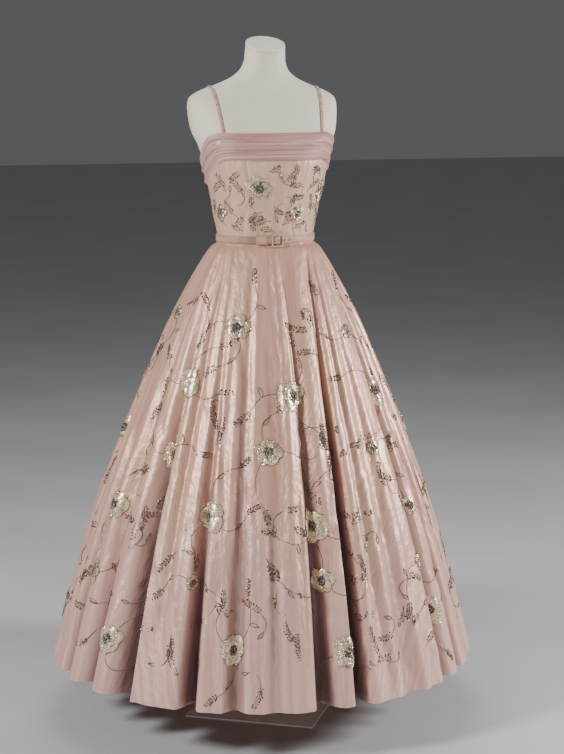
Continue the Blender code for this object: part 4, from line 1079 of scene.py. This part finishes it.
class Embroidery:
    """Things to sew on one surface, gathered by finish, each by its place on the flat cloth."""

    def __init__(self, surface, lowest, highest):
        self.surface = surface
        self.lowest, self.highest = lowest, highest
        self.beads = {}
        self.petals = []

    def sew(self, finish, kind, at, x, y, turn=0.0, scale=1.0, lift=0.0):
        kinds = self.beads.setdefault(finish, {})
        kinds.setdefault(kind, []).append((at[0], at[1], x, y, turn, scale, lift))

    def walk(self, angle, z, x, y):
        """Where the cloth point lies that is x across and y up from a place, measured along the cloth."""
        steps = 8
        angle, z = angle.copy(), z.copy()
        for _ in range(steps):
            here = self.surface(angle, z)
            per_degree = np.linalg.norm(self.surface(angle + 0.05, z) - here, axis=-1) / 0.05
            per_metre = np.linalg.norm(self.surface(angle, z + 0.0005) - here, axis=-1) / 0.0005
            angle += x / steps / np.maximum(per_degree, 1e-5)
            z += y / steps / np.maximum(per_metre, 0.3)
        return angle, z

    def axes(self, angle, z):
        """A place on the surface and its directions across, up and away from the cloth."""
        here = self.surface(angle, z)
        across = self.surface(angle + 0.12, z) - self.surface(angle - 0.12, z)
        up = self.surface(angle, z + 0.0008) - self.surface(angle, z - 0.0008)
        across /= np.linalg.norm(across, axis=-1, keepdims=True)
        away = np.cross(across, up)
        away /= np.linalg.norm(away, axis=-1, keepdims=True)
        return here, across, np.cross(away, across), away

    def make(self, prefix):
        for finish, kinds in self.beads.items():
            points, faces, count = [], [], 0
            for kind, items in kinds.items():
                shape, shape_faces = TEMPLATES[kind]
                data = np.array(items)
                angle, z = self.walk(data[:, 0], data[:, 1], data[:, 2], data[:, 3])
                on_panel = (z > self.lowest) & (z < self.highest(angle))
                data, angle, z = data[on_panel], angle[on_panel], z[on_panel]
                here, across, up, away = self.axes(angle, z)
                c, s = np.cos(data[:, 4])[:, None, None], np.sin(data[:, 4])[:, None, None]
                local = shape[None] * data[:, 5][:, None, None]
                x, y, h = local[..., 0:1], local[..., 1:2], local[..., 2:3]
                flat_x, flat_y = x * c - y * s, x * s + y * c
                base = here + away * (data[:, 6] + BEAD_LIFT)[:, None]
                placed = base[:, None] + across[:, None] * flat_x + up[:, None] * flat_y
                points.append((placed + away[:, None] * h).reshape(-1, 3))
                faces.extend(repeat_faces(shape_faces, len(shape), len(data), count))
                count += len(data) * len(shape)
            joined_piece(f"{prefix}_{finish}", np.concatenate(points), faces, *FINISHES[finish], 25)
        shape, shape_faces = PETAL
        data = np.array(self.petals)
        c, s = np.cos(data[:, 2])[:, None], np.sin(data[:, 2])[:, None]
        x, y = shape[None, :, 0] * data[:, 4:5], shape[None, :, 1] * data[:, 3:4] + data[:, 5:6]
        flat_x, flat_y = (x * c - y * s).reshape(-1), (x * s + y * c).reshape(-1)
        angle, z = np.repeat(data[:, 0], len(shape)), np.repeat(data[:, 1], len(shape))
        angle, z = self.walk(angle, z, flat_x, flat_y)
        here, _, _, away = self.axes(angle, z)
        lift = (shape[None, :, 2] * data[:, 3:4] + data[:, 6:7] + PETAL_LIFT).reshape(-1)
        faces = repeat_faces(shape_faces, len(shape), len(data))
        joined_piece(f"{prefix}_petals", here + away * lift[:, None], faces, PETAL_CLOTH, "band_silk", 60)


def stem(work, at, line, gap=STEM_GAP):
    """Bugle beads end to end along a line on the cloth."""
    line = np.array(line)
    lengths = np.concatenate([[0], np.cumsum(np.linalg.norm(np.diff(line, axis=0), axis=1))])
    for d in np.arange(gap / 2, lengths[-1], gap):
        x, y = np.interp(d, lengths, line[:, 0]), np.interp(d, lengths, line[:, 1])
        ahead = min(d + gap / 2, lengths[-1])
        dx, dy = np.interp(ahead, lengths, line[:, 0]) - x, np.interp(ahead, lengths, line[:, 1]) - y
        work.sew("stems", "bugle", at, x, y, np.arctan2(dy, dx) - pi / 2)


def curve_line(start, heading, length, bend):
    """A line that sets off at a heading and turns by the bend over its length."""
    count = 14
    points = [start]
    for k in range(count):
        points.append(polar(length / count, heading + bend * (k + 0.5) / count, points[-1]))
    return points


def sprig(work, at, start, heading, length, bend, pairs, rng, fullness=1.0):
    """A stem with bead leaves in pairs, growing towards the middle and closing at the tip."""
    line = curve_line(start, heading, length, bend)
    stem(work, at, line)
    line = np.array(line)
    for k in range(pairs):
        share = 0.26 + 0.70 * k / max(pairs - 1, 1)
        i = share * (len(line) - 1)
        spot = np.interp(i, range(len(line)), line[:, 0]), np.interp(i, range(len(line)), line[:, 1])
        turn = heading + bend * share
        size = fullness * (0.70 + 0.30 * sin(pi * share) + 0.30 * rng.random())
        for side in (-1, 1):
            lean = turn + side * radians(34 + 34 * rng.random())
            reach = (3.6 + 1.6 * sin(pi * share) + 1.8 * rng.random()) * MM
            work.sew("bronze_beads", "leaf", at, *polar(reach, lean, spot), lean - pi / 2, size)
            if rng.random() < 0.16:
                work.sew("sequins", "round", at, *polar(1.5 * reach, lean, spot), 0, 0.9)
    tip = polar(2 * MM, heading + bend, line[-1])
    work.sew("bronze_beads", "leaf", at, *tip, heading + bend - pi / 2, 0.95)


def looped_leaf(work, at, start, heading, length):
    """A pointed leaf drawn by its outline and midrib."""
    width = length * 0.34
    for side in (-1, 1):
        shares = [k / 12 for k in range(13)]
        stem(work, at, [on_heading(length * t, side * width / 2 * sin(pi * t**0.85), heading, start)
                        for t in shares], LEAF_GAP)
    for k in range(4):
        work.sew("gold_beads", "round", at, *polar(length * (0.25 + 0.17 * k), heading, start), 0, 0.9)


def petal_sequins(work, at, turn, reach, length, wide, base, filled, rng):
    for row in range(6):
        for side in (-1.1, -0.4, 0.4, 1.1):
            if rng.random() > filled:
                continue
            t = 0.26 + 0.14 * row + 0.05 * rng.random()
            across = side * wide * 0.30 * petal_width(t) * (0.8 + 0.3 * rng.random())
            rise = (0.11 * sin(pi * t) + 0.05 * t * t) * length + base + 0.7 * MM
            spot = on_heading(reach * PETAL_ROOT + length * t, across, turn)
            finish = "sequins" if rng.random() < 0.84 else "gold_beads"
            work.sew(finish, "sequin", at, *spot, rng.random() * 3, 0.6 + 0.5 * rng.random(), rise)


def petal_edges(work, at, turn, reach, length, wide, base):
    for side in (-1, 1):
        for k in range(4):
            t = 0.35 + 0.2 * k
            across = side * wide * 0.48 * petal_width(t) ** 0.9
            spot = on_heading(reach * PETAL_ROOT + length * t, across, turn)
            leaning = turn - pi / 2 - side * (t - 0.4)
            work.sew("stems", "bugle", at, *spot, leaning, 0.8, base + 0.06 * length)


def flower(work, at, size, petals, rng, layers, heart, filled):
    """Rounds of uneven cupped petals sewn with sequins, round a raised centre of dark beads and stones."""
    turn0 = rng.random() * 2 * pi
    for layer in range(layers):
        reach = size / 2 * (1.0 - 0.26 * layer)
        base = layer * 2.0 * MM
        for k in range(petals - layer):
            turn = turn0 + 2 * pi * (k + 0.5 * layer) / (petals - layer) + 0.24 * (rng.random() - 0.5)
            length = reach * (0.66 + 0.26 * rng.random())
            wide = length * (0.95 + 0.35 * rng.random())
            work.petals.append((*at, turn - pi / 2, length, wide, reach * PETAL_ROOT, base))
            petal_sequins(work, at, turn, reach, length, wide, base, filled, rng)
            petal_edges(work, at, turn, reach, length, wide, base)
    count = int(HEART_BEADS * size * heart)
    for k in range(count):
        away, turn = size * heart * ((k + 0.3) / count) ** 0.5, k * GOLDEN_ANGLE
        rise = (5.0 * MM - 2.4 * MM * (k / count)) * layers / 2
        finish = ("dark_beads", "bronze_beads", "bronze_beads", "stones", "bronze_beads")[k % 5]
        kind = "leaf" if finish == "bronze_beads" else "stone"
        work.sew(finish, kind, at, *polar(away, turn), turn - pi / 2, 0.8 + 0.3 * rng.random(), rise)
    around = int(180 * size) + 4
    for k in range(around):
        turn = 2 * pi * k / around + 0.2 * rng.random()
        away = size * (heart + 0.01 + 0.03 * rng.random())
        work.sew("bronze_beads", "leaf", at, *polar(away, turn), turn - pi / 2, 0.8, 1.6 * MM * layers)


def flower_stems(work, at, reach, arms, rng):
    """Curved stems from a flower, each closing in a sprig, some with a looped leaf half-way."""
    start_turn = rng.random() * 2 * pi
    for arm in range(arms):
        heading = start_turn + arm * 2.1 + 0.5 * rng.random()
        bend = (1.1 + 0.6 * rng.random()) * left_or_right(rng)
        line = curve_line(polar(reach, heading), heading, (62 + 40 * rng.random()) * MM, bend)
        stem(work, at, line)
        length = (38 + 26 * rng.random()) * MM
        sprig(work, at, line[-1], heading + bend, length, -0.5 * bend, 8, rng)
        if rng.random() > 0.35:
            turn = heading + 1.1 * (1 if arm % 2 else -1)
            looped_leaf(work, at, line[len(line) // 2], turn, 24 * MM)


def near_flower(angle, height, centres):
    """Whether a place lies so near a flower that a sprig there would run into it."""
    half_width = float(skirt_value("half_width", height))
    for flower_angle, flower_z, size in centres:
        across = radians(offset_deg(angle, flower_angle)) * half_width
        if (across**2 + (height - flower_z) ** 2) ** 0.5 < size * MM * 0.5 + CLEAR_OF_FLOWERS:
            return True
    return False


def embroider_skirt():
    rng = np.random.default_rng(11)
    work = Embroidery(skirt_at, HEM_Z + 0.012, lambda angle: 1.085)
    centres = []
    for z, count, first, size, petals in FLOWER_ROUNDS:
        for k in range(count):
            angle = first + 360 * k / count + 7 * (rng.random() - 0.5)
            at = (angle, z + 0.045 * (rng.random() - 0.5))
            centres.append((*at, size))
            big = rng.random() > 0.22
            full, layers, reach, arms = (1, 2, 0.52, 3) if big else (0.55, 1, 0.3, 2)
            flower(work, at, size * MM * full, petals, rng, layers, SKIRT_HEART, SKIRT_FILLED[k % 3])
            flower_stems(work, at, size * MM * reach, arms, rng)
    for z in np.arange(0.985, 0.16, -SPRIG_ROWS_APART):
        count = int(2 * pi * float(skirt_value("half_width", z)) / SPRIGS_APART)
        for k in range(count):
            at = (360 * (k + 0.5 * rng.random()) / count + 37 * z, z + 0.035 * (rng.random() - 0.5))
            if near_flower(*at, centres):
                continue
            heading = radians(90 + 130 * (rng.random() - 0.5)) + (pi if rng.random() < 0.28 else 0)
            length = (44 + 46 * rng.random()) * MM
            bend = (0.5 + 0.9 * rng.random()) * left_or_right(rng)
            sprig(work, at, (0, 0), heading, length, bend, int(length / SPRIG_PAIRS_APART), rng)
            if rng.random() > 0.45:
                line = curve_line((0, 0), heading + pi, 0.5 * length, -1.6 * bend)
                stem(work, at, line)
                looped_leaf(work, at, line[-1], heading + pi - 1.6 * bend, 20 * MM)
    work.make("embroidery_skirt")


def embroider_bodice():
    rng = np.random.default_rng(5)
    under_band = 0.004
    work = Embroidery(
        bodice_at, WAIST_Z + 0.014, lambda angle: neckline_z(angle) - band_height(angle) - under_band)
    for angle, z, size, layers in BODICE_FLOWERS:
        flower(work, (angle, z), size * MM, 6, rng, layers, BODICE_HEART, BODICE_FILLED)
    for angle, z, heading, length, bend in BODICE_SPRIGS:
        pairs = int(length / 4.6)
        sprig(work, (angle, z), (0, 0), radians(heading), length * MM, bend, pairs, rng, 0.76)
    for angle, z, heading, length, bend in BODICE_LEAVES:
        line = curve_line((0, 0), radians(heading), length * MM, bend)
        stem(work, (angle, z), line)
        looped_leaf(work, (angle, z), line[-1], radians(heading) + bend, 17 * MM)
    work.make("embroidery_bodice")


def sew_belt(top_line):
    """Edge stitching along both sides of the belt and a row across its free end."""
    stitches = []
    for turned in np.arange(-BELT_LAP_DEG + 2.0, 354, STITCH_STEP_DEG):
        angle = BELT_START_DEG - 360 + turned
        out = np.interp(-angle, -top_line[:, 0], top_line[:, 1]) + 0.05 * MM
        half = np.interp(-angle, -top_line[:, 0], top_line[:, 2])
        beside, away = belt_axes(angle, out, 0.5)
        for side in (-1, 1):
            at = belt_point(angle, WAIST_Z + side * (half - STITCH_INSET), out)
            stitches.append((at, beside, UP, away))
    end_angle, end_out = BELT_START_DEG - 360 - BELT_LAP_DEG + 2.4, float(top_line[-1, 1])
    for height in np.arange(-5.4, 5.5, 1.8) * MM:
        at = belt_point(end_angle, WAIST_Z + height, end_out)
        away = (at - belt_point(end_angle, WAIST_Z + height, 0)).normalized()
        stitches.append((at, UP, UP.cross(away), away))
    shape, shape_faces = TEMPLATES["bugle"]
    points = np.array([at + along * (y * STITCH_LONG) + across * (x * STITCH_WIDE) + away * (h * STITCH_WIDE)
                       for at, along, across, away in stitches for x, y, h in shape])
    faces = repeat_faces(shape_faces, len(shape), len(stitches))
    joined_piece("belt_stitches", points, faces, STITCH_THREAD, "silk", 60)


# Floor and light
def make_studio():
    deselect()
    bpy.ops.mesh.primitive_plane_add(size=30, location=(0, 4, -0.0004))
    floor = bpy.context.object
    apply_placing()
    floor.name = "floor"
    paint = speckled("floor_paint", (0.56, 0.56, 0.575), (0.60, 0.60, 0.61), 0.6, 0.0, 2, 0.0)
    floor.data.materials.append(paint)
    world = bpy.data.worlds.new("studio")
    bpy.context.scene.world = world
    world.use_nodes = True
    world.node_tree.nodes["Background"].inputs["Color"].default_value = (0.80, 0.81, 0.84, 1)
    world.node_tree.nodes["Background"].inputs["Strength"].default_value = 0.125
    for name, place, aim, size, power in (
        ("key", (-3.1, -1.3, 2.4), (0, 0, 0.75), 0.7, 132),
        ("front", (-0.3, -4.6, 0.8), (0, 0, 0.45), 1.4, 18),
        ("right", (3.1, -1.1, 1.8), (0, 0, 0.4), 0.7, 136),
        ("top", (0.2, 1.2, 3.4), (0, 0, 0.9), 1.4, 26),
    ):
        light = bpy.data.lights.new(name, "AREA")
        light.size, light.energy = size, power
        lamp = bpy.data.objects.new(name, light)
        lamp.location = place
        lamp.rotation_euler = (Vector(aim) - Vector(place)).to_track_quat("-Z", "Y").to_euler()
        bpy.context.scene.collection.objects.link(lamp)


make_form()
make_stand()
make_skirt()
make_bodice()
make_band()
make_straps()
belt_line = make_belt()
make_buckle_frame()
make_prong()
make_eyelets()
TEMPLATES = {kind: small_piece(kind) for kind in SMALL_PIECES}
PETAL = petal_shape()
sew_belt(belt_line)
embroider_skirt()
embroider_bodice()
make_studio()
